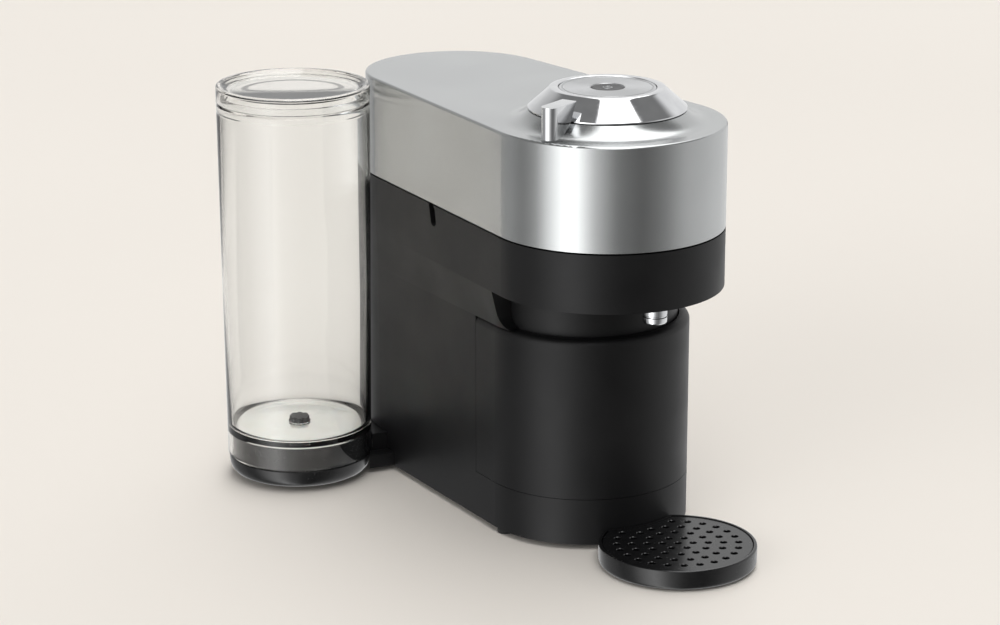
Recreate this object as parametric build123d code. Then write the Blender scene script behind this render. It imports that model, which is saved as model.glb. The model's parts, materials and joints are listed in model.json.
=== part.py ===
from build123d import *
import os
from math import asin, atan2, cos, degrees, hypot, radians, sin, sqrt

# Pod coffee machine. Millimetres, +Z up, front of the machine at -Y.
# The origin is on the counter, under the axis that the pod spins about.

# ---------------------------------------------------------------- outline of the body and the head
head_front_r = 67.0      # round nose of the head, about the spin axis
rear_r = 55.0            # round tail of head and body, about the swivel axis
axis_spacing = 158.5     # from the spin axis back to the tank's swivel axis
body_front_r = 59.8      # round front of the column under the head
body_front_y = 20.4
foot_h = 3.3
foot_r = 4.6
column_top_z = 124.0     # top of the used-pod container's front
band_bottom_z = 146.1    # underside of the head's overhang
seam_z = 179.8           # middle of the line where the head opens
seam_gap = 1.0
head_top_z = 239.3
head_edge_r = 1.6        # rounding of the head's top edge
wall = 2.5
fit_gap = 0.3            # between separate mouldings
press_gap = 0.05         # between pieces of one assembly that sit in each other
run_gap = 0.05           # radial, shaft in bush

# ---------------------------------------------------------------- recess under the overhang
neck_r = 53.0            # the neck set back behind the recess
recess_end_y = 16.0      # where the recess stops at each side
recess_corner_r = 9.0
return_wall = 3.0

# ---------------------------------------------------------------- used-pod container
container_seam_z = 30.0
container_seam_y = 43.7
container_wall = 2.2
bin_half_w = 50.0
bin_rear_y = 79.0
bin_drop = 20.0          # top of the bin below the column's top
container_lip_t = 2.0
container_edge_r = 4.0   # soft edge where the front turns into the recess

# ---------------------------------------------------------------- guide slots in the side walls
slot_w = 6.5
slot_top_y = 91.0
slot_bottom_y = 87.0
slot_depth = 12.5

# ---------------------------------------------------------------- chassis and bottom
base_t = 2.5
shelf_t = 2.6
bulkhead_t = 2.5
rear_floor_z = 24.0
rear_floor_t = 2.5
screw_shank_r = 1.4
screw_head_r = 2.9
screw_head_h = 1.4
screw_reach = 9.0        # thread above the base plate
screw_clear = 0.2
cross_l, cross_t, cross_depth = 3.2, 0.8, 0.9
boss_wall = 2.1
bush_wall = 3.0          # bush round the arm's spigot, and its flange
bush_flange_w = 3.0
bush_flange_t = 2.0
base_screw_places = [(-40.0, -2.0), (40.0, -2.0), (-46.0, 62.0), (46.0, 62.0), (-44.0, 97.0), (44.0, 97.0)]

# ---------------------------------------------------------------- brewing rotor, all about the spin axis
cage_h = 38.3
cage_deck_drop = 1.0     # rim below the deck
cage_t = 2.0
cage_floor_r = 22.0
cage_mouth_r = 28.0      # inside of the cup that holds the pod
cage_rim_w = 5.5
cage_notches = 24
cage_rim_h = 5.3
cage_ledge = 1.5         # step inside the rim that the pod's edge lies on
notch_w, notch_depth = 1.6, 1.2
shaft_r = 4.0
bearing_r = 11.0
bearing_h = 7.0
motor_r = 22.4
stator_h = 12.0
rotor_r = 8.4
stator_bore_r = 9.0
stator_slots = 9
slot_root_w, slot_mouth_w = 4.4, 1.6
tooth_tip = 3.0
stator_rim = 4.0
coil_h = 2.5
frame_reach = 15.5       # neck below the column's top
frame_wall = 2.2
bridge_drop = 3.0        # bridge under the cage's floor

# ---------------------------------------------------------------- coffee gutter and spout
gutter_room = 10.8       # width of the ring, and its gap round the cage
gutter_clear = 1.7
gutter_wall = 2.0
spout_out = 2.4          # spout's axis outside the ring
spout_r = 6.8
spout_bore_r = 4.2
spout_reach = 12.1       # spout below the overhang
spout_boss_wall = 2.2
spout_boss_h = 16.0
reader_half_w = 4.0
reader_wall = 1.2

# ---------------------------------------------------------------- used-pod chute
chute_half_w = 34.0
chute_front_gap = 1.2    # behind the gutter
chute_wall = 2.0
chute_gap = 1.5          # above the bin

# ---------------------------------------------------------------- head
deck_t = 2.0
deck_drop = 1.0          # deck top below the body's top edge
head_base_rise = 1.0     # floor of the head above the shell's edge
head_base_t = 2.5
plate_over = 2.0         # spinning injection plate wider than the cage's mouth
plate_t = 2.4
hub_r = 7.0
hub_h = 24.4             # top of the plate's hub above the head's floor
needle_l = 8.0
needle_r, needle_tip_r, needle_bore_r = 2.6, 0.9, 0.7
plate_holes, plate_hole_r = 12, 1.2
seal_w, seal_t = 3.5, 1.4
plate_drop = 0.7         # plate below the head's floor
head_bearing_r = 16.0
housing_over = 2.6       # housing top above the hub
elbow_r, elbow_h, elbow_bore_r = 5.0, 10.0, 1.2
elbow_reach = 14.0
housing_clear = 6.4
housing_wall = 2.4
lock_clear = 7.6
lock_wall = 2.5
lock_drop = 6.7          # bell's top below the head's
lock_lugs = 3
lug_half_w, lug_out, lug_h = 6.0, 3.0, 6.0
lock_eye_r = 14.0
hose_window = (10.0, 155.0)   # degrees, open at the back of the bell

# ---------------------------------------------------------------- hinge at the rear of the head
hinge_inset = 10.5       # hinge axis in from the tail
hinge_drop = 9.3         # and below the head's top
knuckle_r = 5.5
pin_r = 2.0
spine_half_w = 11.7
ear_t = 5.0
ear_r = 4.4
brace_l, brace_h = 22.0, 20.0
spine_rise = 3.9         # spine's foot above the overhang's underside

# ---------------------------------------------------------------- knob, lever and brew button
knob_hole_r = 24.3
knob_hub_r = 23.6
knob_hub_in_r = 20.0
cone_r = 44.5            # foot of the chrome cone
cone_rise = 7.0          # foot of the cone above the head's top
cone_h = 11.9
cone_top_r = 32.2
disc_r = 27.2
disc_t = 2.0
skirt_foot_r = 58.0      # where the shell's skirt runs out into its flat top
skirt_inset = 0.2
skirt_gap = 0.5
lever_clear = 0.7        # lever above the skirt
lever_tip = 65.4
lever_tip_r = 4.95
lever_root = 30.0
lever_root_r = 4.3
lever_angle = -155.0
button_r = 9.0
button_travel = 1.2
button_h = 4.6
button_flange_w, button_flange_h = 1.8, 2.4
button_drop = 0.5        # button's top below the knob's
disc_drop = 0.4
switch_h, switch_r = 2.4, 1.7

# ---------------------------------------------------------------- drip tray
tray_out = 34.2          # tray's middle in front of the column
tray_r = 44.2
tray_bottom_z = 1.2
tray_top_z = 12.5
tray_wall = 1.8
grid_t = 2.0
grid_drop = 0.5
grid_hole_r = 1.9
grid_rings = [(0.0, 1), (8.5, 6), (17.0, 12), (25.5, 18), (34.0, 24)]
tongue_half_w = 14.0
tongue_z = 6.4
tongue_t = 3.0
tray_floor_t = 1.6
tray_ledge = 1.4         # ledge inside the rim that the grid lies on
grid_border = 3.0
tray_foot_r = 4.0

# ---------------------------------------------------------------- water tank on its swivel arm
tank_to_body = 4.75      # narrowest gap between tank and tail
arm_angle = 171.8        # at rest, tank on the left
arm_half_w = 14.0
arm_low_half_w = 23.0
arm_low_top_z = 11.5
arm_top_z = 22.0
drum_inset = 3.5         # arm's drum inside the tail
drum_wall = 2.0
hub_floor_z = 6.2
hub_floor_t = 2.8
spigot_r = 9.0
spigot_top_z = 32.0
tank_top_r = 45.05
tank_foot_r = 43.2
tank_foot_gap = 0.4      # tank's foot above the stand's ring
tank_rim_z = 230.0
tank_wall = 2.2
tank_floor_z = 29.0
lid_over = 0.05
lid_h = 10.0
lid_wall = 1.8
base_ring_z = 14.0
base_foot_r = 38.0
skirt_fit = 0.7          # stand inside the tank's foot
plug_fit = 0.6
plug_hole_r = 5.2
pad_circle_r = 24.0
valve_r = 6.0
valve_h = 5.4
valve_scallops, scallop_r = 8, 1.1
tank_floor_t = 2.4
neck_h = 4.0
lid_sink = 2.6

# ---------------------------------------------------------------- pump and heater in the rear bay
pump_x, pump_y = -26.0, 116.0
pump_r = 17.0
pump_bottom_z = 50.0
pump_h = 70.0
pump_core_r = 8.0
pump_end_r, pump_end_t = 11.0, 3.0
fitting_r, fitting_l = 4.0, 12.0
bracket_half_w, bracket_t = 12.0, 2.0
cylinder_end = 10.0      # solid stretch of the core at each end
spring_l = 13.9
piston_r = 5.0
heater_x, heater_y = 22.0, 120.0
heater_size = (38.0, 56.0, 64.0)
heater_z = 58.0
heater_leg_t = 5.0
heater_port = 18.0       # inlet and outlet either side of its middle
heater_port_h = 10.0
heater_fins, fin_pitch, fin_w = 5, 9.0, 4.0
union_h = 7.0
nipple_h = 5.0
meter_r, meter_h = 14.0, 12.0
hose_r = 3.2
hose_bore_r = 1.9
arm_hose_r = 2.6
arm_hose_bore_r = 1.6
arm_hose_z = 10.6
gland_x, gland_z = 22.0, 40.0
gland_r = 7.0
lead_r = 3.6
gland_l, gland_recess = 8.9, 0.6
gland_flange_w, gland_flange_t = 2.0, 3.0
vent_rows, vent_pitch = 5, 6.0
vent_z, vent_half_w, vent_h = 62.0, 22.0, 2.4

# ---------------------------------------------------------------- heights and places that follow
base_z = foot_h
body_top_z = seam_z - seam_gap / 2
shell_bottom_z = seam_z + seam_gap / 2
deck_z = body_top_z - deck_drop
band_floor_z = band_bottom_z + wall
rear_low_y = axis_spacing + 31.5
foot_places = [(0.0, 0.0), (-54.8, 19.0), (54.8, 19.0), (-32.0, rear_low_y), (32.0, rear_low_y)]
bin_top_z = column_top_z - bin_drop
bulkhead_y = bin_rear_y + 3.0
shelf_z = container_seam_z - fit_gap - shelf_t + 0.1
posts_z = base_z + base_t + 2 * press_gap

cage_rim_z = deck_z - cage_deck_drop
cage_floor_z = cage_rim_z - cage_h
cage_rim_r = cage_mouth_r + cage_rim_w
bowl_r = cage_floor_r + 5.0
gutter_in_r = cage_rim_r + gutter_clear
gutter_r = gutter_in_r + gutter_room
gutter_floor_z = band_floor_z + fit_gap
spout_y = -(gutter_r + spout_out)
spout_bottom_z = band_bottom_z - spout_reach
chute_front_y = gutter_r + chute_front_gap
chute_rear_y = bin_rear_y - 0.2
chute_bottom_z = bin_top_z + chute_gap
neck_cut_y = chute_front_y - 0.8
frame_bottom_z = column_top_z - frame_reach
bridge_z = cage_floor_z - bridge_drop
motor_bay_top = bridge_z - bearing_h - frame_wall
motor_top_z = motor_bay_top - 0.5

hinge_y = axis_spacing + rear_r - hinge_inset
hinge_z = head_top_z - hinge_drop
spine_bottom_z = band_bottom_z + spine_rise
head_base_z = shell_bottom_z + head_base_rise
head_floor_z = head_base_z + head_base_t
plate_r = cage_mouth_r + plate_over
plate_z = head_base_z - plate_drop
hub_top_z = head_base_z + hub_h
housing_r = plate_r + housing_clear
housing_top_z = hub_top_z + housing_over
lock_r = housing_r + lock_clear
lock_top_z = head_top_z - lock_drop
elbow_z = housing_top_z + 2 * press_gap
cone_z = head_top_z + cone_rise
knob_top_z = cone_z + cone_h
skirt_top_r = cone_r - skirt_inset
skirt_top_z = cone_z - skirt_gap

tray_y = body_front_y - body_front_r - tray_out
arm_r = rear_r + tank_top_r + tank_to_body
drum_r = rear_r - drum_inset
slot_top_z = arm_top_z + 2 * fit_gap
tank_foot_z = base_ring_z + tank_foot_gap
lid_r = tank_top_r + lid_over
lid_top_z = tank_rim_z + lid_h
base_skirt_r = tank_foot_r - skirt_fit
plug_r = tank_foot_r - tank_wall - plug_fit
plug_top_z = tank_floor_z - 1.5
tank_neck_r = lid_r - lid_wall - fit_gap
pump_top_z = pump_bottom_z + pump_h
heater_top_z = heater_z + heater_size[2]
union_top_z = spigot_top_z + union_h
meter_z = union_top_z + nipple_h + 0.2
big = 400.0              # reach of a cutting block
on_end = (Align.CENTER, Align.CENTER, Align.MIN)


def pill(front_r, front_y, tail_r, tail_y):
    """Two circles on the Y axis and the two lines that touch both."""
    tilt = asin((front_r - tail_r) / (tail_y - front_y))
    c, s = cos(tilt), sin(tilt)
    right = [(front_r * c, front_y + front_r * s), (tail_r * c, tail_y + tail_r * s)]
    left = [(-x, y) for x, y in right]
    nose = ThreePointArc(left[0], (0, front_y - front_r), right[0])
    tail = ThreePointArc(right[1], (0, tail_y + tail_r), left[1])
    return make_face([nose, Line(right[0], right[1]), tail, Line(left[1], left[0])])


def head_outline(inset=0.0):
    return pill(head_front_r - inset, 0, rear_r - inset, axis_spacing)


def body_outline(inset=0.0):
    return pill(body_front_r - inset, body_front_y, rear_r - inset, axis_spacing)


def prism(face, z0, z1):
    return Pos(0, 0, z0) * extrude(face, z1 - z0)


def rod(r, z0, z1, x=0.0, y=0.0):
    return Pos(x, y, z0) * Cylinder(r, z1 - z0, align=on_end)


def tube(r_out, r_in, z0, z1, x=0.0, y=0.0):
    return rod(r_out, z0, z1, x, y) - rod(r_in, z0, z1, x, y)


def block(x0, x1, y0, y1, z0, z1):
    return Pos(x0, y0, z0) * Box(x1 - x0, y1 - y0, z1 - z0, align=(Align.MIN, Align.MIN, Align.MIN))


def lathe(points, x=0.0, y=0.0):
    """A closed outline of radius and height, turned about a vertical axis."""
    outline = make_face(Plane.XZ * Polyline(*points, close=True))
    return Pos(x, y, 0) * revolve(outline, Axis.Z, 360)


def cross_rod(r, x0, x1, y, z):
    """A round bar along X."""
    return Pos(x0, y, z) * Rot(0, 90, 0) * Cylinder(r, x1 - x0, align=on_end)


def bar_y(r, y0, y1, x, z):
    """A round bar along Y."""
    return Pos(x, y0, z) * Rot(-90, 0, 0) * Cylinder(r, y1 - y0, align=on_end)


def behind(y, z0=-10.0, z1=big):
    return block(-big, big, y, big, z0, z1)


def before(y, z0=-10.0, z1=big):
    return block(-big, big, -big, y, z0, z1)


# ---------------------------------------------------------------- fixed body
def recess_cut():
    """The space between container and overhang, in front of the neck, with rounded lower ends."""
    front = prism(head_outline(-5.0), column_top_z, band_bottom_z) & before(recess_end_y)
    low_edges = front.edges().filter_by(Axis.X).group_by(Axis.Z)[0].group_by(Axis.Y)[-1]
    return fillet(low_edges, recess_corner_r) - rod(neck_r + fit_gap, 0, big, 0, body_front_y)


def guide_slots():
    """A leaning round-ended notch in the top of each side wall."""
    top = (slot_top_y, body_top_z + slot_w)
    foot = (slot_bottom_y, body_top_z - slot_depth + slot_w / 2)
    lean = degrees(atan2(top[1] - foot[1], top[0] - foot[0]))
    length = hypot(top[0] - foot[0], top[1] - foot[1])
    flat = SlotCenterToCenter(2 * length, slot_w)
    return extrude(Plane.YZ * Pos(*foot) * Rot(0, 0, lean) * Pos(length, 0) * flat, big, both=True)


def body_cavity():
    neck_hole = rod(neck_r + fit_gap, column_top_z, band_floor_z, 0, body_front_y)
    low = prism(body_outline(wall), base_z - 1, band_floor_z) - before(
        recess_end_y + return_wall, column_top_z + fit_gap, big)
    return low + neck_hole + prism(head_outline(wall), band_floor_z, body_top_z + 1)


def arm_slot():
    """The gap round the tail that the tank's arm swings in."""
    arm_y = axis_spacing + rear_r * sin(radians(arm_angle))
    high = behind(arm_y - arm_half_w - 2 * fit_gap, arm_low_top_z, slot_top_z)
    low = behind(arm_y - arm_low_half_w - 2 * fit_gap, base_z - 1, arm_low_top_z + fit_gap)
    return high + low


def body_shell():
    flank = loft([Pos(0, 0, column_top_z) * body_outline(), Pos(0, 0, band_bottom_z) * head_outline()],
                 ruled=True)
    skin = prism(body_outline(), base_z, column_top_z) + flank
    skin += prism(head_outline(), band_bottom_z, body_top_z)
    skin -= body_cavity()
    skin -= recess_cut()
    skin -= before(container_seam_y + fit_gap, container_seam_z, column_top_z)
    skin -= arm_slot()
    skin -= guide_slots()
    skin -= rod(spout_r + fit_gap, band_bottom_z - 1, band_floor_z + 1, 0, spout_y)
    slot_front = body_front_y - body_front_r - 1
    skin -= block(-tongue_half_w - fit_gap, tongue_half_w + fit_gap, slot_front, slot_front + 3 * wall,
                  tongue_z - fit_gap, tongue_z + tongue_t + fit_gap)
    skin -= bar_y(gland_r, axis_spacing, axis_spacing + rear_r + 1, gland_x, gland_z)
    return skin - vents()


def vents():
    """Cooling slots low in the tail."""
    slots = Part()
    for row in range(vent_rows):
        z = vent_z + row * vent_pitch
        slots += block(-vent_half_w, vent_half_w, axis_spacing, axis_spacing + rear_r + 1, z, z + vent_h)
    return slots


def base_plate():
    plate = prism(body_outline(wall + press_gap), base_z, base_z + base_t)
    for x, y in base_screw_places:
        plate -= rod(screw_shank_r + screw_clear, 0, big, x, y)
        plate -= rod(screw_head_r + fit_gap, 0, base_z + screw_head_h, x, y)
    return plate


def base_screws():
    screws = []
    for x, y in base_screw_places:
        head = rod(screw_head_r, base_z + 2 * press_gap, base_z + screw_head_h, x, y)
        shank = rod(screw_shank_r, base_z + screw_head_h, base_z + base_t + screw_reach, x, y)
        cross = Box(cross_l, cross_t, 2 * cross_depth) + Box(cross_t, cross_l, 2 * cross_depth)
        screws.append(head + shank - Pos(x, y, base_z) * cross)
    return Compound(children=screws)


def feet():
    return Compound(children=[rod(foot_r, 0, base_z, x, y) for x, y in foot_places])


def screw_posts(top_z, y0, y1):
    """Bored posts for the base screws that lie between y0 and y1."""
    posts, bores = Part(), Part()
    for x, y in base_screw_places:
        if y0 < y < y1:
            posts += rod(screw_shank_r + boss_wall, posts_z, top_z, x, y)
            bores += rod(screw_shank_r, 0, base_z + base_t + screw_reach + 1, x, y)
    return posts, bores


def chassis_shelf():
    """Shelf under the used-pod container."""
    shelf = prism(body_outline(wall + fit_gap), shelf_z, shelf_z + shelf_t) - behind(bulkhead_y - press_gap)
    posts, bores = screw_posts(shelf_z + 0.1, -big, bulkhead_y)
    return shelf + posts - bores


def chassis_bulkhead():
    """Upright wall between the container and the rear bay."""
    inside = prism(body_outline(wall + fit_gap), posts_z, band_bottom_z)
    return inside & block(-big, big, bulkhead_y, bulkhead_y + bulkhead_t, 0, big)


def chassis_floor():
    """Floor of the rear bay, which carries the pump and the heater."""
    floor = prism(body_outline(wall + fit_gap), rear_floor_z, rear_floor_z + rear_floor_t)
    floor -= before(bulkhead_y + bulkhead_t + press_gap)
    posts, bores = screw_posts(rear_floor_z + 0.1, bulkhead_y, big)
    floor += posts + heater_legs()
    return floor - bores - rod(spigot_r + bush_wall, 0, big, 0, axis_spacing)


def heater_legs():
    """Two arched walls on the chassis floor that carry the heater."""
    dx, dy, _ = heater_size
    floor_z = rear_floor_z + rear_floor_t
    arch_w, arch_t = 18.0, 3.0
    x0, x1 = heater_x - dx / 2 + 2, heater_x + dx / 2 - 2
    legs = Part()
    for y in (heater_y - dy / 2 + arch_t, heater_y + dy / 2 - arch_t - heater_leg_t - 1):
        legs += block(x0, x1, y, y + heater_leg_t, floor_z - 1, heater_z - 0.1)
        legs -= block(heater_x - arch_w / 2, heater_x + arch_w / 2, y - 1, y + heater_leg_t + 1,
                      floor_z + 4, heater_z - 2 - arch_t)
    return legs


def swivel_bush():
    """Flanged bush in the chassis floor that the arm's spigot turns in."""
    floor_z = rear_floor_z + rear_floor_t
    sleeve = rod(spigot_r + bush_wall - press_gap, rear_floor_z - 1.5, floor_z, 0, axis_spacing)
    flange = rod(spigot_r + bush_wall + bush_flange_w, floor_z, floor_z + bush_flange_t, 0, axis_spacing)
    return sleeve + flange - rod(spigot_r + run_gap, 0, big, 0, axis_spacing)


def mains_gland():
    """Moulded inlet in the tail where the lead enters."""
    outer_y = axis_spacing + sqrt(rear_r ** 2 - gland_x ** 2) - gland_recess
    inner_y = outer_y - gland_l
    body = bar_y(gland_r - press_gap, inner_y, outer_y, gland_x, gland_z)
    flange = bar_y(gland_r + gland_flange_w, inner_y - gland_flange_t, inner_y, gland_x, gland_z)
    return body + flange - bar_y(lead_r, 0, big, gland_x, gland_z)


def deck():
    """Top plate of the body, seen when the head is open."""
    plate = prism(head_outline(wall + fit_gap), deck_z - deck_t, deck_z)
    plate -= rod(gutter_r + fit_gap, 0, big)
    plate -= block(-chute_half_w + chute_wall, chute_half_w - chute_wall, chute_front_y + chute_wall,
                   chute_rear_y - chute_wall, 0, big)
    return plate - block(-spine_half_w - fit_gap, spine_half_w + fit_gap, hinge_y - knuckle_r, big, 0, big)


def pod_chute():
    outer = block(-chute_half_w, chute_half_w, chute_front_y, chute_rear_y, chute_bottom_z, deck_z - deck_t)
    return outer - block(-chute_half_w + chute_wall, chute_half_w - chute_wall, chute_front_y + chute_wall,
                         chute_rear_y - chute_wall, 0, big)


def pod_container():
    """Pull-out container whose front is the front of the column."""
    top_z = column_top_z - fit_gap
    bottom_z = container_seam_z + fit_gap
    face_y = container_seam_y
    body = prism(body_outline(), bottom_z, top_z) & before(face_y)
    top_edges = body.edges().group_by(Axis.Z)[-1]
    body = fillet([edge for edge in top_edges if edge.center().Y < face_y - 1], container_edge_r)
    rear = block(-bin_half_w, bin_half_w, face_y - 1, bin_rear_y, bottom_z, bin_top_z)
    lip_z = top_z - container_lip_t
    inner = prism(body_outline(container_wall), bottom_z + container_wall, lip_z)
    front_room = inner & before(face_y - container_wall)
    room_half_w = bin_half_w - container_wall
    bin_room = block(-room_half_w, room_half_w, 0, bin_rear_y - container_wall,
                     bottom_z + container_wall, big)
    over_bin = inner & before(face_y + 1, bin_top_z, big)
    neck_room = prism(neck_notch(), lip_z - 1, big) & before(face_y + 1)
    return body + rear - front_room - bin_room - over_bin - neck_room


def neck_notch():
    """Outline of the cut-out in the container's lip, round the neck and open to the rear."""
    clear_r = neck_r + 3 * fit_gap
    opening = Pos(0, body_front_y + big / 2) * Rectangle(2 * clear_r, big)
    return Pos(0, body_front_y) * Circle(clear_r) + opening


# ---------------------------------------------------------------- brewing unit
def brew_frame():
    """Neck of the machine: motor bay, bearing seat and the bowl round the pod cage."""
    top_z = band_floor_z - fit_gap
    neck = rod(neck_r, frame_bottom_z, top_z, 0, body_front_y) & before(neck_cut_y)
    room = rod(neck_r - frame_wall, frame_bottom_z + frame_wall, big, 0, body_front_y) & before(
        neck_cut_y - frame_wall)
    bridge = (rod(neck_r - frame_wall / 2, bridge_z - frame_wall, bridge_z, 0, body_front_y)
              & before(neck_cut_y - frame_wall / 2))
    frame = neck - room + bridge
    frame += rod(bowl_r + frame_wall, bridge_z - frame_wall, top_z)
    frame -= rod(bowl_r, cage_floor_z - 1.0, big)
    frame += rod(motor_r + frame_wall, frame_bottom_z, bridge_z - frame_wall)
    frame -= rod(motor_r, frame_bottom_z - 1, motor_bay_top)
    frame -= rod(bearing_r, bridge_z - bearing_h, cage_floor_z)
    return frame - rod(shaft_r + 1.5, 0, big)


def motor_stator():
    """Slotted laminations."""
    low_z = motor_top_z - stator_h
    stator = tube(motor_r - press_gap, stator_bore_r, low_z, motor_top_z)
    tip_r = stator_bore_r + tooth_tip
    for i in range(stator_slots):
        root = block(tip_r, motor_r - stator_rim, -slot_root_w / 2, slot_root_w / 2,
                     low_z - 1, motor_top_z + 1)
        mouth = block(0, tip_r + 1, -slot_mouth_w / 2, slot_mouth_w / 2, low_z - 1, motor_top_z + 1)
        stator -= Rot(0, 0, 360 / stator_slots * i) * (root + mouth)
    return stator


def motor_coils():
    """One winding under each stator tooth."""
    top_z = motor_top_z - stator_h - 2 * press_gap
    inner_r, outer_r, half_w = stator_bore_r + tooth_tip + 0.6, motor_r - stator_rim - 0.6, 2.0
    coils = []
    for i in range(stator_slots):
        coil = block(inner_r, outer_r, -half_w, half_w, top_z - coil_h, top_z)
        coils.append(Rot(0, 0, 360 / stator_slots * (i + 0.5)) * coil)
    return Compound(children=coils)


def motor_rotor():
    return tube(rotor_r, shaft_r, motor_top_z - stator_h, motor_top_z)


def motor_cover():
    cover = rod(motor_r - press_gap, frame_bottom_z, frame_bottom_z + frame_wall)
    return cover - rod(shaft_r + run_gap, 0, big)


def rotor_shaft():
    return rod(shaft_r, frame_bottom_z + 0.6, cage_floor_z)


def rotor_bearing():
    """Ball bearing with its shield set back from the face."""
    race_t, shield_drop = 2.2, 0.8
    bearing = tube(bearing_r - press_gap, shaft_r + run_gap, bridge_z - bearing_h, bridge_z)
    return bearing - tube(bearing_r - race_t, shaft_r + race_t, bridge_z - shield_drop, bridge_z)


def pod_cage():
    """Spinning cup that holds the pod by its rim."""
    rim_z = cage_rim_z - cage_rim_h
    step_z, step_r = cage_rim_z - cage_ledge, cage_mouth_r + 2.6
    cup = lathe([
        (0, cage_floor_z), (cage_floor_r, cage_floor_z), (cage_floor_r + 2.8, cage_floor_z + 4),
        (cage_mouth_r + 1.8, rim_z - 2), (cage_rim_r, rim_z), (cage_rim_r, cage_rim_z),
        (step_r, cage_rim_z), (step_r, step_z), (cage_mouth_r, step_z), (cage_mouth_r - 0.2, rim_z - 2),
        (cage_floor_r + 0.8, cage_floor_z + 5), (cage_floor_r - 1.5, cage_floor_z + cage_t),
        (0, cage_floor_z + cage_t)])
    for i in range(cage_notches):
        notch = block(cage_mouth_r + 2.0, cage_rim_r + 1, -notch_w / 2, notch_w / 2,
                      cage_rim_z - notch_depth, cage_rim_z + 1)
        cup -= Rot(0, 0, 360 / cage_notches * i) * notch
    return cup


def coffee_gutter():
    """Ring that catches the coffee thrown off the pod's rim and leads it to the spout."""
    floor_top = gutter_floor_z + gutter_wall
    inner_top_z = cage_rim_z - cage_rim_h - 0.4
    inner_wall_r = gutter_in_r + gutter_wall
    ring = tube(gutter_r, gutter_in_r, gutter_floor_z, deck_z)
    ring -= tube(gutter_r - gutter_wall, inner_wall_r, floor_top, deck_z)
    ring -= rod(inner_wall_r + 0.5, inner_top_z, deck_z)
    boss_top = gutter_floor_z + spout_boss_h
    ring += rod(spout_r + spout_boss_wall, gutter_floor_z, boss_top, 0, spout_y) - rod(gutter_r - 1, 0, big)
    ring -= rod(spout_r, floor_top, boss_top - gutter_wall, 0, spout_y) - rod(inner_wall_r + 1, 0, big)
    return ring - rod(spout_bore_r, 0, floor_top + 1, 0, spout_y)


def coffee_spout():
    return tube(spout_r, spout_bore_r, spout_bottom_z, gutter_floor_z - press_gap, 0, spout_y)


def code_reader():
    """Optical reader that looks up at the underside of the pod's rim."""
    x0, x1 = cage_mouth_r + 2.2, gutter_in_r - 0.6
    top_z = cage_rim_z - cage_rim_h - 3.2
    room_half_w = reader_half_w - 1.5
    housing = block(x0, x1, -reader_half_w, reader_half_w, gutter_floor_z + 0.2, top_z)
    return housing - block(x0 + reader_wall, x1 - reader_wall, -room_half_w, room_half_w, top_z - 2, big)


# ---------------------------------------------------------------- head
def skirt_curve(clear=0.0):
    """Hollow curve from the shell's flat top up to the knob, grown by clear, and its two ends."""
    dx, dz = skirt_foot_r - skirt_top_r, skirt_top_z - head_top_z
    r = (dx * dx + dz * dz) / (2 * dz)
    start, end = (skirt_foot_r, head_top_z + clear), (skirt_top_r + clear, skirt_top_z + clear)
    half = asin(hypot(start[0] - end[0], start[1] - end[1]) / (2 * r))
    middle = (skirt_foot_r - r * sin(half), start[1] + r * (1 - cos(half)))
    return start, ThreePointArc(start, middle, end), end


def turned_outline(curve, corners):
    """A curve closed by straight lines, turned about the spin axis."""
    lines = [curve] + [Line(a, b) for a, b in zip(corners, corners[1:])]
    return revolve(make_face([Plane.XZ * line for line in lines]), Axis.Z, 360)


def skirt():
    """The shell's raised skirt under the knob."""
    start, curve, end = skirt_curve()
    floor_z, lip_r = head_top_z - wall, skirt_top_r - wall
    corners = [end, (lip_r, skirt_top_z), (lip_r, head_top_z), (knob_hole_r, head_top_z),
               (knob_hole_r, floor_z), (skirt_foot_r, floor_z), start]
    return turned_outline(curve, corners)


def skirt_room():
    """The space over the skirt that the lever keeps out of."""
    start, curve, end = skirt_curve(lever_clear)
    floor_z = head_top_z - wall
    return turned_outline(curve, [end, (0, end[1]), (0, floor_z), (skirt_foot_r, floor_z), start])


def head_shell():
    """Metal-finished cover of the head."""
    shell = prism(head_outline(), shell_bottom_z, head_top_z)
    top_edges = shell.edges().group_by(Axis.Z)[-1]
    shell = fillet(top_edges, head_edge_r)
    shell -= prism(head_outline(wall), shell_bottom_z - 1, head_top_z - wall)
    shell -= rod(knob_hole_r, 0, big)
    shell += skirt()
    notch = spine_half_w + 0.5
    shell -= block(-notch, notch, hinge_y - knuckle_r - 1, big, 0, hinge_z)
    return shell - cross_rod(knuckle_r + 0.7, -notch, notch, hinge_y, hinge_z)


def head_base():
    """Floor of the head, with the two arms that carry the hinge pin."""
    plate = prism(head_outline(wall + fit_gap), head_base_z, head_floor_z)
    plate -= rod(plate_r + 1.5, 0, big)
    notch = spine_half_w + 0.5
    plate -= block(-notch, notch, hinge_y - knuckle_r - 1.5, big, 0, big)
    for side in (-1, 1):
        x0, x1 = sorted((side * (notch + 0.1), side * (notch + 0.1 + ear_t)))
        arm = block(x0, x1, hinge_y - ear_r, hinge_y + 1.0, head_base_z + 1, hinge_z)
        plate += arm + cross_rod(ear_r, x0, x1, hinge_y, hinge_z) + arm_brace(x0, x1)
    return plate - cross_rod(pin_r, -big, big, hinge_y, hinge_z)


def arm_brace(x0, x1):
    """Three-cornered web in front of one arm."""
    y1 = hinge_y - ear_r + 0.4
    y0 = y1 - brace_l
    foot_z = head_base_z + 1
    corners = [(y0, foot_z), (y0, head_floor_z), (y1, foot_z + brace_h - 1), (y1, foot_z)]
    side = make_face(Polyline(*corners, close=True))
    return Pos(x0, 0, 0) * extrude(Plane.YZ * side, x1 - x0)


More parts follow.
